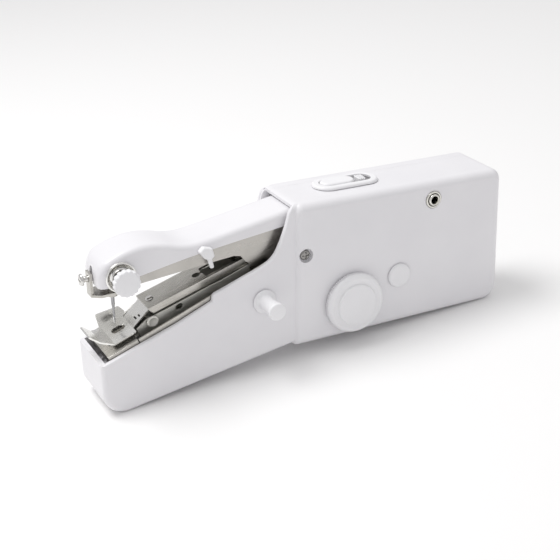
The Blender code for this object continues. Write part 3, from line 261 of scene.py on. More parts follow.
def fillet(points, radii, steps=6):
    """The outline with each corner rounded to its radius, 0 for a sharp one."""
    made = []
    count = len(points)
    for i, (corner, radius) in enumerate(zip(points, radii)):
        here = Vector(corner)
        if radius <= 0:
            made.append(tuple(corner))
            continue
        back = (Vector(points[i - 1]) - here).normalized()
        ahead = (Vector(points[(i + 1) % count]) - here).normalized()
        half = back.angle(ahead) / 2
        reach = radius / math.tan(half)
        middle = here + (back + ahead).normalized() * (radius / math.sin(half))
        first = here + back * reach - middle
        turn = (here + ahead * reach - middle).angle_signed(first)
        for k in range(steps + 1):
            angle = turn * k / steps
            cos, sin = math.cos(angle), math.sin(angle)
            made.append((middle.x + first.x * cos - first.y * sin, middle.y + first.x * sin + first.y * cos))
    return made


def stadium(start, end, half_width, steps=16):
    """A slot-shaped outline whose round ends reach start and end."""
    right = arc((end - half_width, 0), half_width, -90, 90, steps)
    return right + arc((start + half_width, 0), half_width, 90, 270, steps)


def inset(corners, distance):
    """The corners of a counter-clockwise outline after all its sides move inwards."""
    made = []
    for i, corner in enumerate(corners):
        here = Vector(corner)
        back = (here - Vector(corners[i - 1])).normalized()
        ahead = (Vector(corners[(i + 1) % len(corners)]) - here).normalized()
        normals = Vector((-back.y, back.x)), Vector((-ahead.y, ahead.x))
        made.append(tuple(here + (normals[0] + normals[1]) * distance / (1 + normals[0].dot(normals[1]))))
    return made


# ---------------------------------------------------------------- solids
def mesh_object(name, bm, place=IDENTITY):
    bmesh.ops.recalc_face_normals(bm, faces=bm.faces)
    bmesh.ops.transform(bm, matrix=MACHINE @ place, verts=bm.verts)
    mesh = bpy.data.meshes.new(name)
    bm.to_mesh(mesh)
    bm.free()
    made = bpy.data.objects.new(name, mesh)
    bpy.context.scene.collection.objects.link(made)
    return made


def loft(name, sections, place=IDENTITY):
    """A solid through closed sections with equal numbers of points, each a list of (x, y, z)."""
    bm = bmesh.new()
    rings = [[bm.verts.new(point) for point in section] for section in sections]
    count = len(rings[0])
    for ring, following in zip(rings, rings[1:]):
        for i in range(count):
            j = (i + 1) % count
            bm.faces.new((ring[i], ring[j], following[j], following[i]))
    bm.faces.new(rings[0])
    bm.faces.new(rings[-1])
    return mesh_object(name, bm, place)


PLANES = {
    "XZ": lambda a, b, c: (a, c, b),
    "XY": lambda a, b, c: (a, b, c),
    "YZ": lambda a, b, c: (c, a, b),
}


def prism(name, outline, low, high, plane="XZ", place=IDENTITY):
    """The outline in one plane, filled and extruded along the third axis from low to high."""
    put = PLANES[plane]
    return loft(name, [[put(a, b, level) for a, b in outline] for level in (low, high)], place)


def box(name, low, high, place=IDENTITY):
    outline = [(low[0], low[2]), (high[0], low[2]), (high[0], high[2]), (low[0], high[2])]
    return prism(name, outline, low[1], high[1], place=place)


def rod(name, centre, radius, low, high, sides=48, place=IDENTITY):
    return prism(name, circle(centre, radius, sides), low, high, place=place)


def rounded_slab(name, corners, radii, low, high, low_round, high_round, steps=7, plane="XZ", place=IDENTITY):
    """A slab between two levels with filleted corners and both edges rounded."""
    put = PLANES[plane]
    sections = []
    for side, level, radius in ((-1, low, low_round), (1, high, high_round)):
        for k in range(steps + 1):
            angle = math.pi / 2 * (steps - k if side < 0 else k) / steps
            inwards = radius * (1 - math.cos(angle))
            height = level - side * (radius - radius * math.sin(angle))
            outline = fillet(inset(corners, inwards), [max(r - inwards, 0.3) for r in radii], 8)
            sections.append([put(a, b, height) for a, b in outline])
    return loft(name, sections, place)


def turned(name, profile, centre=(0, 0), sides=64, place=IDENTITY, reach=None):
    """A closed profile of (radius, y) turned about the line along Y through centre (x, z).

    reach(radius, y, k) may change the radius of point k round the ring, for knurls and lobes.
    """
    bm = bmesh.new()
    rings = []
    for radius, y in profile:
        if radius == 0:
            rings.append([bm.verts.new((centre[0], y, centre[1]))])
            continue
        ring = []
        for k in range(sides):
            angle = 2 * math.pi * k / sides
            r = reach(radius, y, k) if reach else radius
            ring.append(bm.verts.new((centre[0] + r * math.cos(angle), y, centre[1] + r * math.sin(angle))))
        rings.append(ring)
    for ring, following in zip(rings, rings[1:] + rings[:1]):
        for i in range(sides):
            j = (i + 1) % sides
            corners = [ring[i % len(ring)], ring[j % len(ring)]]
            corners += [following[j % len(following)], following[i % len(following)]]
            corners = list(dict.fromkeys(corners))
            if len(corners) > 2:
                bm.faces.new(corners)
    return mesh_object(name, bm, place)


def coil(name, centre, radius, wire, low, high, turns, place=IDENTITY):
    """A helical spring about the line along Y through centre, as one closed tube."""
    around, steps = 10, 28 * turns
    sections = []
    for k in range(steps + 1):
        angle = 2 * math.pi * turns * k / steps
        y = low + wire + (high - low - 2 * wire) * k / steps
        section = []
        for j in range(around):
            turn = 2 * math.pi * j / around
            reach = radius + wire * math.cos(turn)
            x, z = centre[0] + reach * math.cos(angle), centre[1] + reach * math.sin(angle)
            section.append((x, y + wire * math.sin(turn), z))
        sections.append(section)
    return loft(name, sections, place)


def bake(obj):
    """Replaces the object's mesh by what its modifiers make of it."""
    bpy.context.view_layer.update()
    graph = bpy.context.evaluated_depsgraph_get()
    obj.data = bpy.data.meshes.new_from_object(obj.evaluated_get(graph))
    obj.modifiers.clear()


def boolean(obj, operation, others):
    for other in others:
        step = obj.modifiers.new(operation, "BOOLEAN")
        step.operation = operation
        step.solver = "EXACT"
        step.object = other
        bake(obj)
        bpy.data.objects.remove(other)
    return obj


def cut(obj, *others):
    return boolean(obj, "DIFFERENCE", others)


def join(obj, *others):
    return boolean(obj, "UNION", others)


def bevel(obj, width, segments=2, angle=38):
    rounding = obj.modifiers.new("Rounding", "BEVEL")
    rounding.width = width * MM
    rounding.segments = segments
    rounding.limit_method = "ANGLE"
    rounding.angle_limit = math.radians(angle)
    rounding.miter_outer = "MITER_ARC"
    return obj


def smooth(obj, angle=None):
    """Smooth shading. With an angle, steeper edges stay sharp; without, faces weigh the normals."""
    obj.data.shade_smooth()
    if angle:
        obj.data.set_sharp_from_angle(angle=math.radians(angle))
        return
    weighted = obj.modifiers.new("Normals", "WEIGHTED_NORMAL")
    weighted.mode = "FACE_AREA"
    weighted.keep_sharp = True


def settle(obj, body, slot, look, *nodes, angle=None):
    """Gives a finished piece its look and hangs it on its body in place of the CAD nodes."""
    smooth(obj, angle)
    obj.data.materials.clear()
    obj.data.materials.append(look)
    if nodes:
        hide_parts(*nodes)
    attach(obj, body)
    return obj


# ---------------------------------------------------------------- housing
BLOCK = [(-0.5, 0.0), (HANDLE_LENGTH, 0.0), (HANDLE_LENGTH - 0.2, HANDLE_END_HEIGHT), (1.8, HANDLE_HEIGHT)]
NECK_CORNER, ROOF_EDGE, ROOF_LOW = 0.2, 1.8, 67.8
NECK_CURVE = [(-2.1, 61.3), (-5.1, 54.0), (-8.0, 48.4), (-11.6, 45.2), (-15.8, 43.4)]


def jaw_solid():
    """Neck and lower jaw as one solid: round below, at the nose and along the neck's top."""
    sole = [(-93.2, -13.6), (-1.0, 1.5), (8.0, 3.0), (8.0, 90.0), (-93.2, 90.0)]
    jaw = rounded_slab("jaw", sole, [10.0, 0.4, 0.4, 0.4, 0.4], -JAW_HALF, JAW_HALF, 2.4, 2.4)
    side = [(NECK_CORNER, top_height(NECK_CORNER) - FLUSH)] + NECK_CURVE
    side += [(-39.2, 35.5), (-39.8, 32.2), (-56.6, 25.4), (-78.7, 18.0), (-92.6, 13.2)]
    side += [(-100.0, 13.2), (-100.0, -40.0), (20.0, -40.0), (20.0, top_height(20.0) - FLUSH)]
    radii = [5.5, 20, 20, 12, 12, 20] + [1.6, 1.0, 0.3, 0.3, 6.0] + [0.3] * 4
    rim = rounded_slab("rim", side, radii, -JAW_HALF, JAW_HALF, 0.9, 0.9, 4)
    edges = [(-120.0, -60.0), (30.0, -60.0), (30.0, top_height(30.0)), (-120.0, top_height(-120.0))]
    upper = rounded_slab("upper", edges, [0.4] * 4, -JAW_HALF - 0.01, JAW_HALF + 0.01, 3.6, 3.6)
    return boolean(jaw, "INTERSECT", [rim, upper])


def inner_space():
    """What is hollow inside the handle, and inside the neck and jaw."""
    low, right = WALL, HANDLE_LENGTH - WALL - 0.1
    handle = [(1.7, low), (right, low)]
    handle += [(right - 0.2, HANDLE_END_HEIGHT - WALL), (3.8, HANDLE_HEIGHT - WALL - 0.1)]
    inside = prism("inside", fillet(handle, [1, 4.5, 4.5, 1.5]), -HANDLE_HALF + WALL, HANDLE_HALF - WALL)
    jaw = [(8.0, ROOF_LOW), (ROOF_EDGE, ROOF_LOW), (ROOF_EDGE, 85.0), (-91.0, 85.0), (-91.0, -11.3)]
    jaw += [(-1.0, 3.6), (8.0, 5.0)]
    trough = prism("trough", fillet(jaw, [0, 0, 0, 0, 8, 0, 0]), -JAW_HALF + WALL, JAW_HALF - WALL)
    return inside, trough


def hollow_housing(name):
    housing = rounded_slab(name, BLOCK, [3, 8, 5.5, 4.5], -HANDLE_HALF, HANDLE_HALF, 4.0, 4.0)
    join(housing, jaw_solid())
    return cut(housing, *inner_space())


def keep_half(housing, front):
    """Rounds the housing's edges, then keeps what is in front of the seam, or behind it."""
    bake(bevel(housing, 0.22))
    far = 40.0
    low, high = (SEAM_Y - SEAM_GAP / 2, far) if front else (-far, SEAM_Y + SEAM_GAP / 2)
    cut(housing, box("other_half", (-120, low, -40), (140, high, 100)))
    housing.data.set_sharp_from_angle(angle=math.radians(60))
    return housing


def make_front_housing():
    shell = hollow_housing("front_shell")
    face, inner = -HANDLE_HALF, -HANDLE_HALF + WALL
    for x, z in REAR_SCREWS:
        start = inner if x > 0 else -JAW_HALF + WALL
        join(shell, rod("boss", (x, z), 3.2, start - 1, SEAM_Y - 1.0))
        cut(shell, rod("pilot", (x, z), 1.5, -2.0, SEAM_Y))
    join(shell, rod("pivot_boss", ARM_PIVOT, 4.0, inner - 1, -10.8))
    cut(shell, rod("pivot_hole", ARM_PIVOT, 1.9, face - 1, -10.0))
    cut(shell, rod("screw_recess", ARM_PIVOT, 3.4, face - 1, face + 2.1))
    cut(shell, rod("wheel_hole", WHEEL_AXIS, 2.6, face - 1, inner + 1))
    cut(shell, rod("winder_hole", WINDER_AXIS, 2.1, face - 1, inner + 1))
    cut(shell, rod("jack_hole", JACK_AXIS, 3.3, face - 1, inner + 1))
    cut(shell, rod("jack_recess", JACK_AXIS, 4.4, face - 1, face + 0.5))
    cut(shell, rod("spool_hole", SPOOL_AXIS, 2.1, -JAW_HALF - 1, -JAW_HALF + WALL + 1))
    slot = stadium(SWITCH_START + 3.0, SWITCH_END - 3.0, 5.2)
    cut(shell, prism("switch_hole", slot, -WALL - 1, 1, "XY", TOP))
    wall = [(54.2, 1.0), (112.2, 1.0), (112.2, 66.5), (54.2, 66.5)]
    join(shell, prism("battery_wall", fillet(wall, [0, 7, 6, 0]), -1.0, 0.2))
    join(shell, box("battery_stop", (54.2, -0.5, 1.0), (55.4, 8.0, 56.0)))
    settle(keep_half(shell, True), "machine", "white_plastic", SHELL, "front_housing")


def make_rear_cover():
    shell = hollow_housing("rear_shell")
    pad = [(2.4, 68.3), (0.75, 68.3), (0.35, 67.9), (-0.15, 67.2), (-0.75, 65.8), (-1.6, 62.5), (-2.85, 59.0)]
    pad += [(5.0, 57.0), (7.0, 68.3)]
    join(shell, prism("cheek_pad", pad, ARM_HALF + 0.6, JAW_HALF - WALL + 0.5))
    for x, z in REAR_SCREWS:
        back = HANDLE_HALF if x > 0 else JAW_HALF
        join(shell, rod("boss", (x, z), 3.6, SEAM_Y + 0.4, back - WALL + 1))
        cut(shell, rod("screw_hole", (x, z), 1.7, SEAM_Y - 1, back + 1))
        cut(shell, rod("head_recess", (x, z), 2.9, back - 2.2, back + 1))
    join(shell, rod("pivot_boss", ARM_PIVOT, 4.0, 10.8, HANDLE_HALF - WALL + 1))
    cut(shell, rod("pivot_hole", ARM_PIVOT, 1.5, 10.0, HANDLE_HALF - 1.0))
    x0, x1, z0, z1 = DOOR
    opening = fillet([(x0, z0), (x1, z0), (x1, z1), (x0, z1)], [3] * 4)
    cut(shell, prism("door_opening", opening, HANDLE_HALF - WALL - 1, HANDLE_HALF + 1))
    settle(keep_half(shell, False), "machine", "white_plastic", SHELL, "rear_cover")


def make_battery_door():
    x0, x1, z0, z1 = DOOR
    gap = GAP + 0.1
    corners = [(x0 + gap, z0 + gap), (x1 - gap, z0 + gap), (x1 - gap, z1 - gap), (x0 + gap, z1 - gap)]
    door = prism("battery_lid", fillet(corners, [3] * 4), HANDLE_HALF - WALL + 0.1, HANDLE_HALF)
    for k in range(7):
        x = x0 + 5.0 + 1.3 * k
        cut(door, box("groove", (x, HANDLE_HALF - 0.45, 26), (x + 0.6, HANDLE_HALF + 1, 41)))
    settle(bevel(door, 0.15), "door", "white_plastic", SHELL, "battery_door")


# ---------------------------------------------------------------- arm
ARM_TOP = [(-89.3, 50.5), (-88.9, 54.5), (-87.2, 57.6), (-84.4, 59.6), (-80.5, 61.3), (-76.0, 62.6)]
ARM_TOP += [(-70.0, 63.6), (-64.0, 63.4), (-58.0, 62.2), (-52.0, 60.4), (-46.0, 59.6), (-38.0, 60.3)]
ARM_TOP += [(-25.0, 62.4), (-10.0, 64.9), (4.0, 67.2)]
ARM_BOTTOM = [(-89.3, 46.8), (-71.6, 50.1), (-44.0, 54.6), (-2.5, 59.3), (4.0, 60.0)]
NOSE_X, NOSE_RADIUS, ARM_END = -89.3, 5.0, 4.0
ARM_FRONT_ROUNDING, ARM_BACK_ROUNDING, ARM_WALL = 2.8, 5.8, 1.5
NOSE_STEPS, ARM_STEPS = 12, 60


def level(line, x):
    """The height at x of a smooth curve through the points of a line."""
    last = len(line) - 2
    for i, ((x0, z0), (x1, z1)) in enumerate(zip(line, line[1:])):
        if x <= x1 or i == last:
            before, after = line[max(i - 1, 0)], line[min(i + 2, len(line) - 1)]
            slope_0 = (z1 - before[1]) / (x1 - before[0])
            slope_1 = (after[1] - z0) / (after[0] - x0)
            width = x1 - x0
            t = min(max((x - x0) / width, 0.0), 1.0)
            a, b = 2 * t**3 - 3 * t**2 + 1, t**3 - 2 * t**2 + t
            return a * z0 + b * width * slope_0 + (1 - a) * z1 + (t**3 - t**2) * width * slope_1


def arm_section(x, inwards):
    """The arm cover's outline across at x: an upside-down tub, rounder along its back top edge."""
    nose, radius = NOSE_X + inwards, NOSE_RADIUS - inwards
    into = min(max(x - nose, 0.0), radius)
    half = ARM_HALF - inwards - radius + math.sqrt(max(0.0, radius**2 - (radius - into) ** 2))
    top, bottom = level(ARM_TOP, x - inwards * 0.6) - inwards, level(ARM_BOTTOM, x)
    limit = min(half * 0.92, (top - bottom) * 0.7)
    outline = [(-half, bottom)]
    for side, rounding, start in ((-1, ARM_FRONT_ROUNDING, 180), (1, ARM_BACK_ROUNDING, 90)):
        r = min(rounding - inwards, limit)
        outline += arc((side * (half - r), top - r), r, start, start - 90, 10)
    outline.append((half, bottom))
    return [(x, y, z) for y, z in outline]


def arm_shell(name):
    """The arm cover as an open tub: an outer and an inner skin joined round the rim and at the tail."""
    skins = []
    for inwards in (0.0, ARM_WALL):
        tip, radius = NOSE_X + inwards + 0.04, NOSE_RADIUS - inwards
        turns = [math.pi / 2 * k / NOSE_STEPS for k in range(NOSE_STEPS + 1)]
        stations = [tip + radius * (1 - math.cos(turn)) for turn in turns]
        start = stations[-1]
        stations += [start + (ARM_END - start) * k / ARM_STEPS for k in range(1, ARM_STEPS + 1)]
        skins.append([arm_section(x, inwards) for x in stations])
    bm = bmesh.new()
    outer, inner = [[[bm.verts.new(point) for point in section] for section in skin] for skin in skins]
    for skin in (outer, inner):
        bm.faces.new(skin[0])
        for ring, following in zip(skin, skin[1:]):
            for i in range(len(ring) - 1):
                bm.faces.new((ring[i], ring[i + 1], following[i + 1], following[i]))
    bm.faces.new((outer[0][0], outer[0][-1], inner[0][-1], inner[0][0]))
    for k in range(len(outer) - 1):
        for end in (0, -1):
            bm.faces.new((outer[k][end], outer[k + 1][end], inner[k + 1][end], inner[k][end]))
    for i in range(len(outer[0]) - 1):
        bm.faces.new((outer[-1][i], outer[-1][i + 1], inner[-1][i + 1], inner[-1][i]))
    return mesh_object(name, bm)


def make_arm_cover():
    cover = arm_shell("arm_shell")
    cut(cover, rod("tension_hole", TENSION_AXIS, 5.0, -14, -9))
    slot = [(-1.8, 40), (1.8, 40), (1.8, 54.4), (-1.8, 54.4)]
    cut(cover, prism("nose_slot", fillet(slot, [0, 0, 1.75, 1.75]), -94, -86, "YZ"))
    settle(bevel(cover, 0.25, 3, 45), "arm", "white_plastic", SHELL, "arm_cover")


def make_thread_guide():
    wedge = [(-44.4, 56.4), (-41.8, 52.8), (-39.2, 51.6), (-37.0, 53.4), (-38.0, 57.2), (-42.0, 58.4)]
    guide = rounded_slab("thread_clip", wedge, [0.9] * 6, -15.4, -12.3, 0.9, 0.3, 4)
    stem = [(-40.4, 53.0), (-38.9, 47.4), (-37.1, 47.4), (-38.2, 53.0)]
    join(guide, rounded_slab("stem", stem, [0.3, 0.7, 0.7, 0.3], -14.0, -12.4, 0.4, 0.3, 3))
    settle(bevel(guide, 0.12), "arm", "white_plastic", KNOBS, "thread_guide")


def make_tension():
    collar = [(4.7, -12.2), (6.5, -12.2), (6.9, -12.5), (6.95, -12.8), (6.75, -13.1), (6.4, -13.2)]
    collar += [(6.05, -13.1), (5.8, -12.8), (5.4, -12.6), (4.8, -12.5)]
    collar = turned("tension_ring", collar, TENSION_AXIS, 96)
    settle(collar, "arm", "bright_steel", FOOT_STEEL, "tension_collar", angle=60)
    stud = [(0, -8.2), (2.6, -8.2), (2.6, -9.0), (1.2, -9.0), (1.2, -20.1), (1.0, -20.35), (0, -20.4)]
    stud = turned("tension_post", stud, TENSION_AXIS, 40)
    settle(stud, "arm", "bright_steel", BRIGHT, "tension_stud", angle=40)
    discs = [(1.5, -13.0), (2.2, -13.0), (3.4, -12.72), (4.4, -12.2), (4.45, -12.4), (3.4, -12.98)]
    discs += [(2.2, -13.3)]
    discs += [(2.2, -13.34), (3.4, -13.62), (4.45, -14.2), (4.4, -14.4), (3.4, -13.9), (2.2, -13.7)]
    discs += [(1.5, -13.7)]
    discs = turned("tension_plates", discs, TENSION_AXIS, 72)
    settle(discs, "arm", "bright_steel", BRIGHT, "tension_discs", angle=60)
    spring = coil("tension_coil", TENSION_AXIS, 2.4, 0.3, -17.8, -14.6, 4)
    settle(spring, "arm", "bright_steel", BRIGHT, "tension_spring", angle=80)

    lobes, sides, grip_start, notch = 15, 240, 5.1, 0.55

    def lobe(radius, y, k):
        """Scallops round the grip, which begins at grip_start from the axis."""
        if radius < grip_start:
            return radius
        swell = abs(math.cos(lobes * math.pi * k / sides)) ** 0.8
        return radius - notch * (1 - swell)

    knob = [(1.5, -17.9), (4.6, -17.9), (5.7, -18.0), (6.05, -18.3), (6.1, -19.0), (6.1, -20.4), (6.0, -20.9)]
    knob += [(5.75, -21.2), (5.4, -21.32), (4.6, -21.36), (3.0, -21.4), (0, -21.4), (0, -20.8), (1.5, -20.8)]
    knob = turned("tension_dial", knob, TENSION_AXIS, sides, reach=lobe)
    settle(knob, "tension_nut", "white_plastic", KNOBS, "tension_knob", angle=50)


def cross_recess(centre, arm, half, low, high, plane="XZ", place=IDENTITY):
    cross = [(-arm, -half), (-half, -half), (-half, -arm), (half, -arm), (half, -half), (arm, -half)]
    cross += [(-a, -b) for a, b in cross]
    return prism("cross", [(centre[0] + a, centre[1] + b) for a, b in cross], low, high, plane, place)


def make_needle_parts():
    blade = [(0, -24.0), (0.12, -24.5), (0.34, -26.2), (0.55, -28.0), (0.6, -29.5), (0.6, -33.0)]
    blade += [(0.68, -33.6), (0.85, -34.2), (0.85, -43.0), (0, -43.0)]
    upright = Matrix.Translation((NEEDLE_X, 0, 0)) @ Matrix.Rotation(math.radians(-90), 4, "X")
    needle = turned("needle_blade", blade, (0, 0), 28, upright)
    settle(needle, "arm", "bright_steel", NEEDLE, "needle", angle=60)

    lying = Matrix.Translation((0, 0, 48.8)) @ Matrix.Rotation(math.radians(90), 4, "Z")
    head = [(0, 94.8), (1.6, 94.78), (2.3, 94.6), (2.7, 94.2), (2.8, 93.8), (2.75, 93.5), (2.6, 93.4)]
    head += [(1.3, 93.4), (1.3, 92.6), (1.15, 92.4), (1.3, 92.2), (1.3, 87.0), (1.0, 86.8), (0, 86.8)]
    screw = turned("needle_set_screw_turned", head, (0, 0), 48, lying)
    cut(screw, cross_recess((0, 48.8), 1.9, 0.36, -96, -94.1, "YZ"))
    settle(bevel(screw, 0.08, 2, 50), "needle_set_screw", "bright_steel", BRIGHT, "needle_screw")


def screw(name, node, centre, head_y, tip_y, head_radius, shank_radius):
    """A pan-head cross screw whose head faces away from its tip."""
    way = 1 if tip_y > head_y else -1
    r = head_radius
    profile = [(0, 0), (r * 0.55, 0.02), (r * 0.82, 0.14), (r * 0.96, 0.42), (r, 0.75), (r, 1.2)]
    profile += [(r * 0.97, 1.3)]
    profile = [(radius, head_y + depth * way) for radius, depth in profile]
    profile += [(shank_radius, head_y + 1.3 * way), (shank_radius, tip_y - 0.8 * way), (0, tip_y)]
    made = turned(name, profile, centre, 40)
    low, high = sorted((head_y - way, head_y + 0.6 * way))
    cut(made, cross_recess(centre, r * 0.7, r * 0.19, low, high))
    settle(bevel(made, 0.07, 2, 50), "machine", "pressed_steel", SCREW, node)


def make_screws():
    screw("neck_screw", "arm_pivot_screw", ARM_PIVOT, -HANDLE_HALF + 0.8, HANDLE_HALF - 1.6, 2.5, 1.2)
    for number, (x, z) in enumerate(REAR_SCREWS, 1):
        back = HANDLE_HALF if x > 0 else JAW_HALF
        screw(f"back_screw_{number}", f"rear_screw_{number}", (x, z), back - 0.5, 0.0, 2.5, 1.2)


# ---------------------------------------------------------------- handle's controls
def make_wheel():
    teeth, rim_start, rim_face = 84, 14.1, -20.4
    profile = [(2.5, -18.0), (13.4, -18.0), (14.3, -18.15), (14.6, -18.5), (14.6, -20.3), (14.54, -20.5)]
    profile += [(14.5, -20.9), (14.35, -21.4), (14.0, -21.95), (13.6, -22.3), (13.1, -22.6), (12.6, -22.7)]
    profile += [(12.2, -22.62), (11.9, -22.45), (10.5, -22.35), (10.15, -22.4), (9.95, -22.65), (9.85, -23.1)]
    profile += [(9.65, -23.32), (9.3, -23.4), (6.0, -23.38), (0, -23.36), (0, -21.3), (2.5, -21.3)]

    def knurl(radius, y, k):
        """Four points to a tooth, cut into the rim only."""
        if radius < rim_start or y < rim_face:
            return radius
        return radius - (0.0, 0.25, 0.45, 0.25)[k % 4]

    wheel = turned("handwheel_turned", profile, WHEEL_AXIS, 4 * teeth, reach=knurl)
    settle(wheel, "wheel", "white_plastic", KNOBS, "handwheel", angle=42)
    cap = [(1.8, -17.8), (5.9, -17.8), (6.0, -17.95), (6.0, -18.1), (5.92, -18.35), (5.7, -18.6)]
    cap += [(5.35, -18.8), (4.8, -18.95), (4.0, -19.05), (2.5, -19.1), (0, -19.1), (0, -18.3), (1.8, -18.3)]
    cap = turned("winder_button", cap, WINDER_AXIS, 96)
    settle(cap, "winder", "white_plastic", KNOBS, "winder_cap", angle=45)


def make_spool_pin():
    pin = [(0, -14.4), (1.8, -14.4), (1.8, -16.3), (5.3, -16.3), (5.6, -16.5), (5.6, -16.85), (5.35, -17.25)]
    pin += [(4.9, -17.55), (4.2, -17.75), (3.75, -18.0), (3.5, -18.5), (3.42, -19.4), (3.42, -25.0)]
    pin += [(3.5, -26.7), (3.4, -27.1), (2.2, -27.1), (2.2, -28.9), (0, -28.9)]
    pin = turned("spool_post", pin, SPOOL_AXIS, 80)
    settle(pin, "machine", "white_plastic", KNOBS, "spool_pin", angle=50)
    cap = [(2.5, -27.4), (3.55, -27.4), (3.85, -27.6), (4.08, -28.2), (4.1, -29.6), (4.0, -29.95)]
    cap += [(3.7, -30.15), (3.3, -30.2), (0, -30.18), (0, -29.2), (2.5, -29.2)]
    cap = turned("spool_post_cap", cap, SPOOL_AXIS, 80)
    settle(cap, "cap", "white_plastic", KNOBS, "spool_cap", angle=50)


def stadium_slab(name, start, end, half, low, high, low_round, high_round, steps=6):
    """A slab of stadium outline along the handle's top, with rounded edges."""
    sections = []
    for side, height, radius in ((-1, low, low_round), (1, high, high_round)):
        for k in range(steps + 1):
            angle = math.pi / 2 * (steps - k if side < 0 else k) / steps
            inwards = radius * (1 - math.cos(angle))
            z = height - side * radius * (1 - math.sin(angle))
            outline = stadium(start + inwards, end - inwards, half - inwards, 20)
            sections.append([(a, b, z) for a, b in outline])
    return loft(name, sections, TOP)


def make_switch():
    bezel = stadium_slab("switch_rim", SWITCH_START, SWITCH_END, 7.6, GAP, 1.7, 0.1, 1.3)
    cut(bezel, stadium_slab("inside", SWITCH_START + 3.4, SWITCH_END - 3.4, 4.6, -1, 4, 0.1, 0.1, 1))
    settle(bevel(bezel, 0.35, 4, 50), "machine", "white_plastic", KNOBS, "switch_bezel")
    button = stadium_slab("thumb_button", SWITCH_START + 3.8, BUTTON_END, 4.2, -1.6, 2.3, 0.2, 1.2)
    join(button, prism("plunger", circle((PLUNGER_X, 0.0), 1.6), -3.6, -1.0, "XY", TOP))
    settle(bevel(button, 0.15, 2, 60), "switch_button", "white_plastic", KNOBS, "power_button")
    corners = [(LOCK[0], -2.8), (LOCK[1], -2.8), (LOCK[1], 2.8), (LOCK[0], 2.8)]
    lock = rounded_slab("lock_tab", corners, [0.8] * 4, -1.2, 2.0, 0.2, 0.3, 4, "XY", TOP)
    for start in (LOCK[0] + 0.7, LOCK[0] + 1.7, LOCK[0] + 2.7):
        cut(lock, box("rib", (start, -4, 1.45), (start + 0.5, 4, 3), TOP))
    settle(bevel(lock, 0.1, 2, 50), "lock", "white_plastic", KNOBS, "lock_slider")


def make_button_spring():
    """The spring under the button, which on the real machine shortens as the button goes down; here it is
    drawn at rest, with a mesh of its own.
    """
    low, high = -5.6, -2.0
    upright = TOP @ Matrix.Translation((PLUNGER_X, 0, 0)) @ UPRIGHT
    spring = coil("switch_spring", (0, 0), 2.5, 0.3, low, high, 3, upright)
    settle(spring, "machine", "bright_steel", BRIGHT, "button_spring", angle=80)
    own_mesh(spring)


def make_jack():
    barrel = [(1.95, -18.6), (2.05, -18.75), (2.25, -18.8), (2.55, -18.72), (2.8, -18.45), (2.9, -18.1)]
    barrel += [(2.9, -14.6), (1.7, -14.6), (1.7, -17.6)]
    barrel = turned("jack_tube", barrel, JACK_AXIS, 64)
    settle(barrel, "machine", "bright_steel", NICKEL, "jack_barrel", angle=50)
    nut = [(3.3, -17.95), (3.4, -18.0), (3.8, -18.0), (4.0, -17.92), (4.1, -17.75), (4.1, -17.3)]
    nut += [(3.3, -17.3)]
    nut = turned("jack_ring", nut, JACK_AXIS, 64)
    settle(nut, "machine", "chrome_ring", NICKEL, "jack_nut", angle=50)


# ---------------------------------------------------------------- presser foot
def strip(points, thickness):
    """A side outline of bent sheet: the points are its top line, front to back."""
    lower = []
    for i, point in enumerate(points):
        here = Vector(point)
        before = (here - Vector(points[i - 1])).normalized() if i else None
        after = (Vector(points[i + 1]) - here).normalized() if i + 1 < len(points) else None
        along = ((before or after) + (after or before)).normalized()
        normal = Vector((along.y, -along.x))
        side = after or before
        lower.append(tuple(here + normal * thickness / max(0.5, normal.dot(Vector((side.y, -side.x))))))
    return points + lower[::-1]


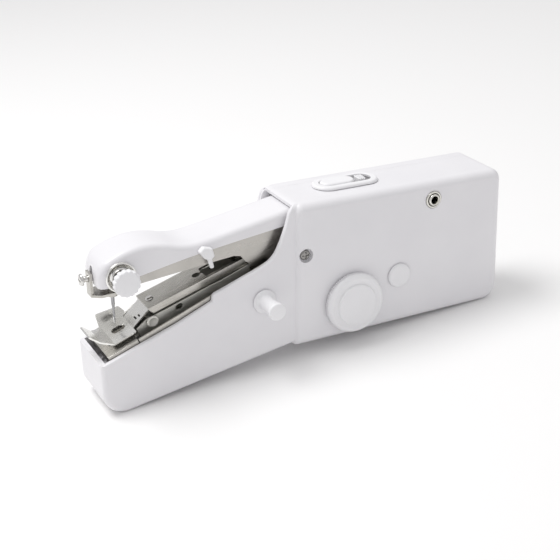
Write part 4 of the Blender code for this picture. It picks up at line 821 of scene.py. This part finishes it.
def make_presser_foot():
    tab_end = tuple((LEVER @ Vector((7.4, 0, -SHEET - GAP))).xz)
    fold = tuple((LEVER @ Vector((0.2, 0, -SHEET - GAP))).xz)
    line = [(-95.2, 25.4), (-90.6, 22.0), (-84.6, 19.9), (-74.4, 23.7), fold, tab_end]
    line = fillet(line, [0, 0.8, 0.8, 1.2, 1.4, 0], 5)
    foot = prism("foot_plate", strip(line, SHEET), -10.0, 7.2)
    cut(foot, box("ramp_front", (-74.3, -12, 10), (-50, -6.4, 60)))
    cut(foot, box("ramp_back", (-74.3, 6.4, 10), (-50, 12, 60)))
    toe = [(-100, 2.5), (-91.0, 3.5), (-86.0, 7.3), (-84.0, 12.0), (-100, 12.0)]
    cut(foot, prism("toe_side", toe, 0, 60, "XY"))
    cut(foot, prism("toe_front", [(-100, -8.6), (-100, -12), (-84.6, -12), (-84.6, -10.0)], 0, 60, "XY"))
    hole = fillet([(-82.3, -2.6), (-76.3, -2.6), (-76.3, 2.2), (-82.3, 2.2)], [1.9] * 4, 8)
    cut(foot, prism("needle_hole", hole, 0, 26, "XY"))
    cut(foot, prism("rivet_hole", circle((3.6, 0.0), 1.3), -3, 1, "XY", LEVER))
    for x, y0, y1 in ((-71.6, -3.6, -0.6), (-70.2, -4.6, -2.2)):
        cut(foot, box("ramp_slot", (x - 0.3, y0, 22), (x + 0.3, y1, 34)))
    guard = [(-85.5, 19.4), (-74.4, 23.2), (-73.4, 26.5), (-76.0, 29.4), (-87.3, 27.6)]
    join(foot, prism("guard", fillet(guard, [0, 0, 0.8, 1.2, 1.0]), 6.6, 7.3))
    join(foot, box("hook", (-80.6, 6.0, 26.6), (-78.6, 7.0, 28.8)))
    settle(bevel(foot, 0.1, 2, 35), "presser", "bright_steel", FOOT_STEEL, "presser_foot")

    rivet = [(0, 0.9), (0.8, 0.88), (1.4, 0.75), (1.8, 0.45), (1.9, 0.1), (1.0, 0.1), (1.0, -2.0)]
    rivet += [(1.7, -2.2), (1.6, -2.6), (1.2, -2.8), (0, -2.8)]
    rivet = turned("foot_stud", rivet, (0, 0), 36, LEVER @ Matrix.Translation((3.6, 0, 0)) @ UPRIGHT)
    settle(rivet, "presser", "pressed_steel", BRIGHT, "foot_rivet", angle=50)


def make_looper_rivet():
    rivet = [(0, -10.3), (1.5, -10.3), (1.75, -10.45), (2.1, -10.52), (2.5, -10.5), (2.8, -10.38)]
    rivet += [(2.9, -10.2), (2.9, -9.9), (1.2, -9.9), (1.2, 10.2), (0, 10.2)]
    rivet = turned("looper_stud", rivet, LOOPER_PIVOT, 48)
    settle(rivet, "machine", "pressed_steel", FRAME_STEEL, "looper_rivet", angle=50)


# ---------------------------------------------------------------- CAD nodes that keep their shape
CARRIED = {
    "arm_channel": (ARM_STEEL, 0.15),
    "base_channel": (SHEET_STEEL, 0.2),
    "looper_frame": (FRAME_STEEL, 0.15),
    "needle_plate": (SHEET_STEEL, 0.12),
    "presser_lever": (SHEET_STEEL, 0.2),
    "needle_clamp": (SHEET_STEEL, 0.12),
    "drive_yoke": (SHEET_STEEL, 0.1),
    "gear_plate": (DARK, 0.1),
    "crank_disc": (DARK, 0.1),
    "feed_dog": (DARK, 0.05),
    "looper": (BRIGHT, 0.1),
    "motor": (SHEET_STEEL, 0.1),
    "presser_pivot_pin": (BRIGHT, 0.1),
    "main_shaft": (BRIGHT, 0.1),
    "motor_shaft": (BRIGHT, 0.0),
    "winder_shaft": (BRIGHT, 0.0),
    "battery_contact_inner": (BRIGHT, 0.1),
    "battery_contact_outer": (BRIGHT, 0.1),
    "arm_pivot_sleeve": (BRASS, 0.0),
    "motor_pinion": (BRASS, 0.0),
    "main_gear": (NYLON, 0.06),
    "idler_gear": (NYLON, 0.06),
    "winder_gear": (NYLON, 0.06),
    "switch_body": (BLACK, 0.1),
    "jack_body": (BLACK, 0.1),
    "battery_1": (SLEEVE, 0.0),
    "battery_2": (SLEEVE, 0.0),
    "battery_3": (SLEEVE, 0.0),
    "battery_4": (SLEEVE, 0.0),
}


def dress_carried_nodes():
    """Materials for the CAD nodes that stay, and softened edges for those whose edges show."""
    for name, (look, width) in CARRIED.items():
        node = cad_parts[name]
        if not node.material_slots:
            node.data.materials.append(look)
        for held in node.material_slots:
            held.material = look
        if width:
            weld = node.modifiers.new("Weld", "WELD")
            weld.merge_threshold = 0.00001
            bevel(node, width)
            weighted = node.modifiers.new("Normals", "WEIGHTED_NORMAL")
            weighted.mode = "FACE_AREA"
            node.data.shade_smooth()


# ---------------------------------------------------------------- floor, light and camera
def make_stage():
    bm = bmesh.new()
    half = 3.0
    corners = ((-half, -half), (half, -half), (half, half), (-half, half))
    bm.faces.new([bm.verts.new((x, y, 0.0)) for x, y in corners])
    mesh = bpy.data.meshes.new("floor")
    bm.to_mesh(mesh)
    bm.free()
    floor = bpy.data.objects.new("floor", mesh)
    bpy.context.scene.collection.objects.link(floor)
    look = bpy.data.materials.new("floor_white")
    look.use_nodes = True
    shader = look.node_tree.nodes["Principled BSDF"]
    shader.inputs["Base Color"].default_value = (0.95, 0.945, 0.94, 1.0)
    shader.inputs["Roughness"].default_value = 0.45
    mesh.materials.append(look)


def area_light(name, location, target, size, power):
    light = bpy.data.lights.new(name, "AREA")
    light.shape = "DISK"
    light.size = size
    light.energy = power
    made = bpy.data.objects.new(name, light)
    bpy.context.scene.collection.objects.link(made)
    made.location = location
    made.rotation_euler = (Vector(target) - Vector(location)).to_track_quat("-Z", "Y").to_euler()


def make_light():
    """A white sky, a little dimmer and cooler near the horizon, and one soft lamp overhead."""
    horizon, zenith, strength = (0.78, 0.77, 0.80, 1), (1.0, 1.0, 1.0, 1), 0.70
    world = bpy.data.worlds.new("studio")
    bpy.context.scene.world = world
    world.use_nodes = True
    tree = world.node_tree
    background = tree.nodes["Background"]
    split = tree.nodes.new("ShaderNodeSeparateXYZ")
    tree.links.new(tree.nodes.new("ShaderNodeTexCoord").outputs["Generated"], split.inputs[0])
    ramp = tree.nodes.new("ShaderNodeValToRGB")
    ramp.color_ramp.elements[0].position = 0.0
    ramp.color_ramp.elements[0].color = horizon
    ramp.color_ramp.elements[1].position = 0.75
    ramp.color_ramp.elements[1].color = zenith
    tree.links.new(split.outputs["Z"], ramp.inputs["Fac"])
    tree.links.new(ramp.outputs["Color"], background.inputs["Color"])
    background.inputs["Strength"].default_value = strength
    area_light("key", (-0.35, 0.25, 1.0), (0, 0, 0.03), 0.6, 6.3)


def make_camera():
    """The viewpoint: low from the front left, with the machine tilted a little in the frame."""
    distance, azimuth, elevation, roll = 588.82, -24.271, 25.634, -5.242
    aim = Vector((-11.14, 0.0, 37.32)) * MM
    turn = Matrix.Rotation(math.radians(azimuth), 3, "Z")
    turn = turn @ Matrix.Rotation(math.radians(90 - elevation), 3, "X")
    turn = turn @ Matrix.Rotation(math.radians(roll), 3, "Z")
    data = bpy.data.cameras.new("camera")
    data.lens = 81.874
    data.sensor_width = 36.0
    data.clip_start = 0.01
    camera = bpy.data.objects.new("camera", data)
    bpy.context.scene.collection.objects.link(camera)
    camera.rotation_euler = turn.to_euler()
    camera.location = aim + turn @ Vector((0, 0, distance * MM))
    bpy.context.scene.camera = camera


make_camera()
make_light()
make_stage()
make_front_housing()
make_rear_cover()
make_battery_door()
make_arm_cover()
make_thread_guide()
make_tension()
make_needle_parts()
make_screws()
make_wheel()
make_spool_pin()
make_switch()
make_button_spring()
make_jack()
make_presser_foot()
make_looper_rivet()
dress_carried_nodes()
bpy.context.scene.view_settings.view_transform = "Standard"
bpy.context.view_layer.update()
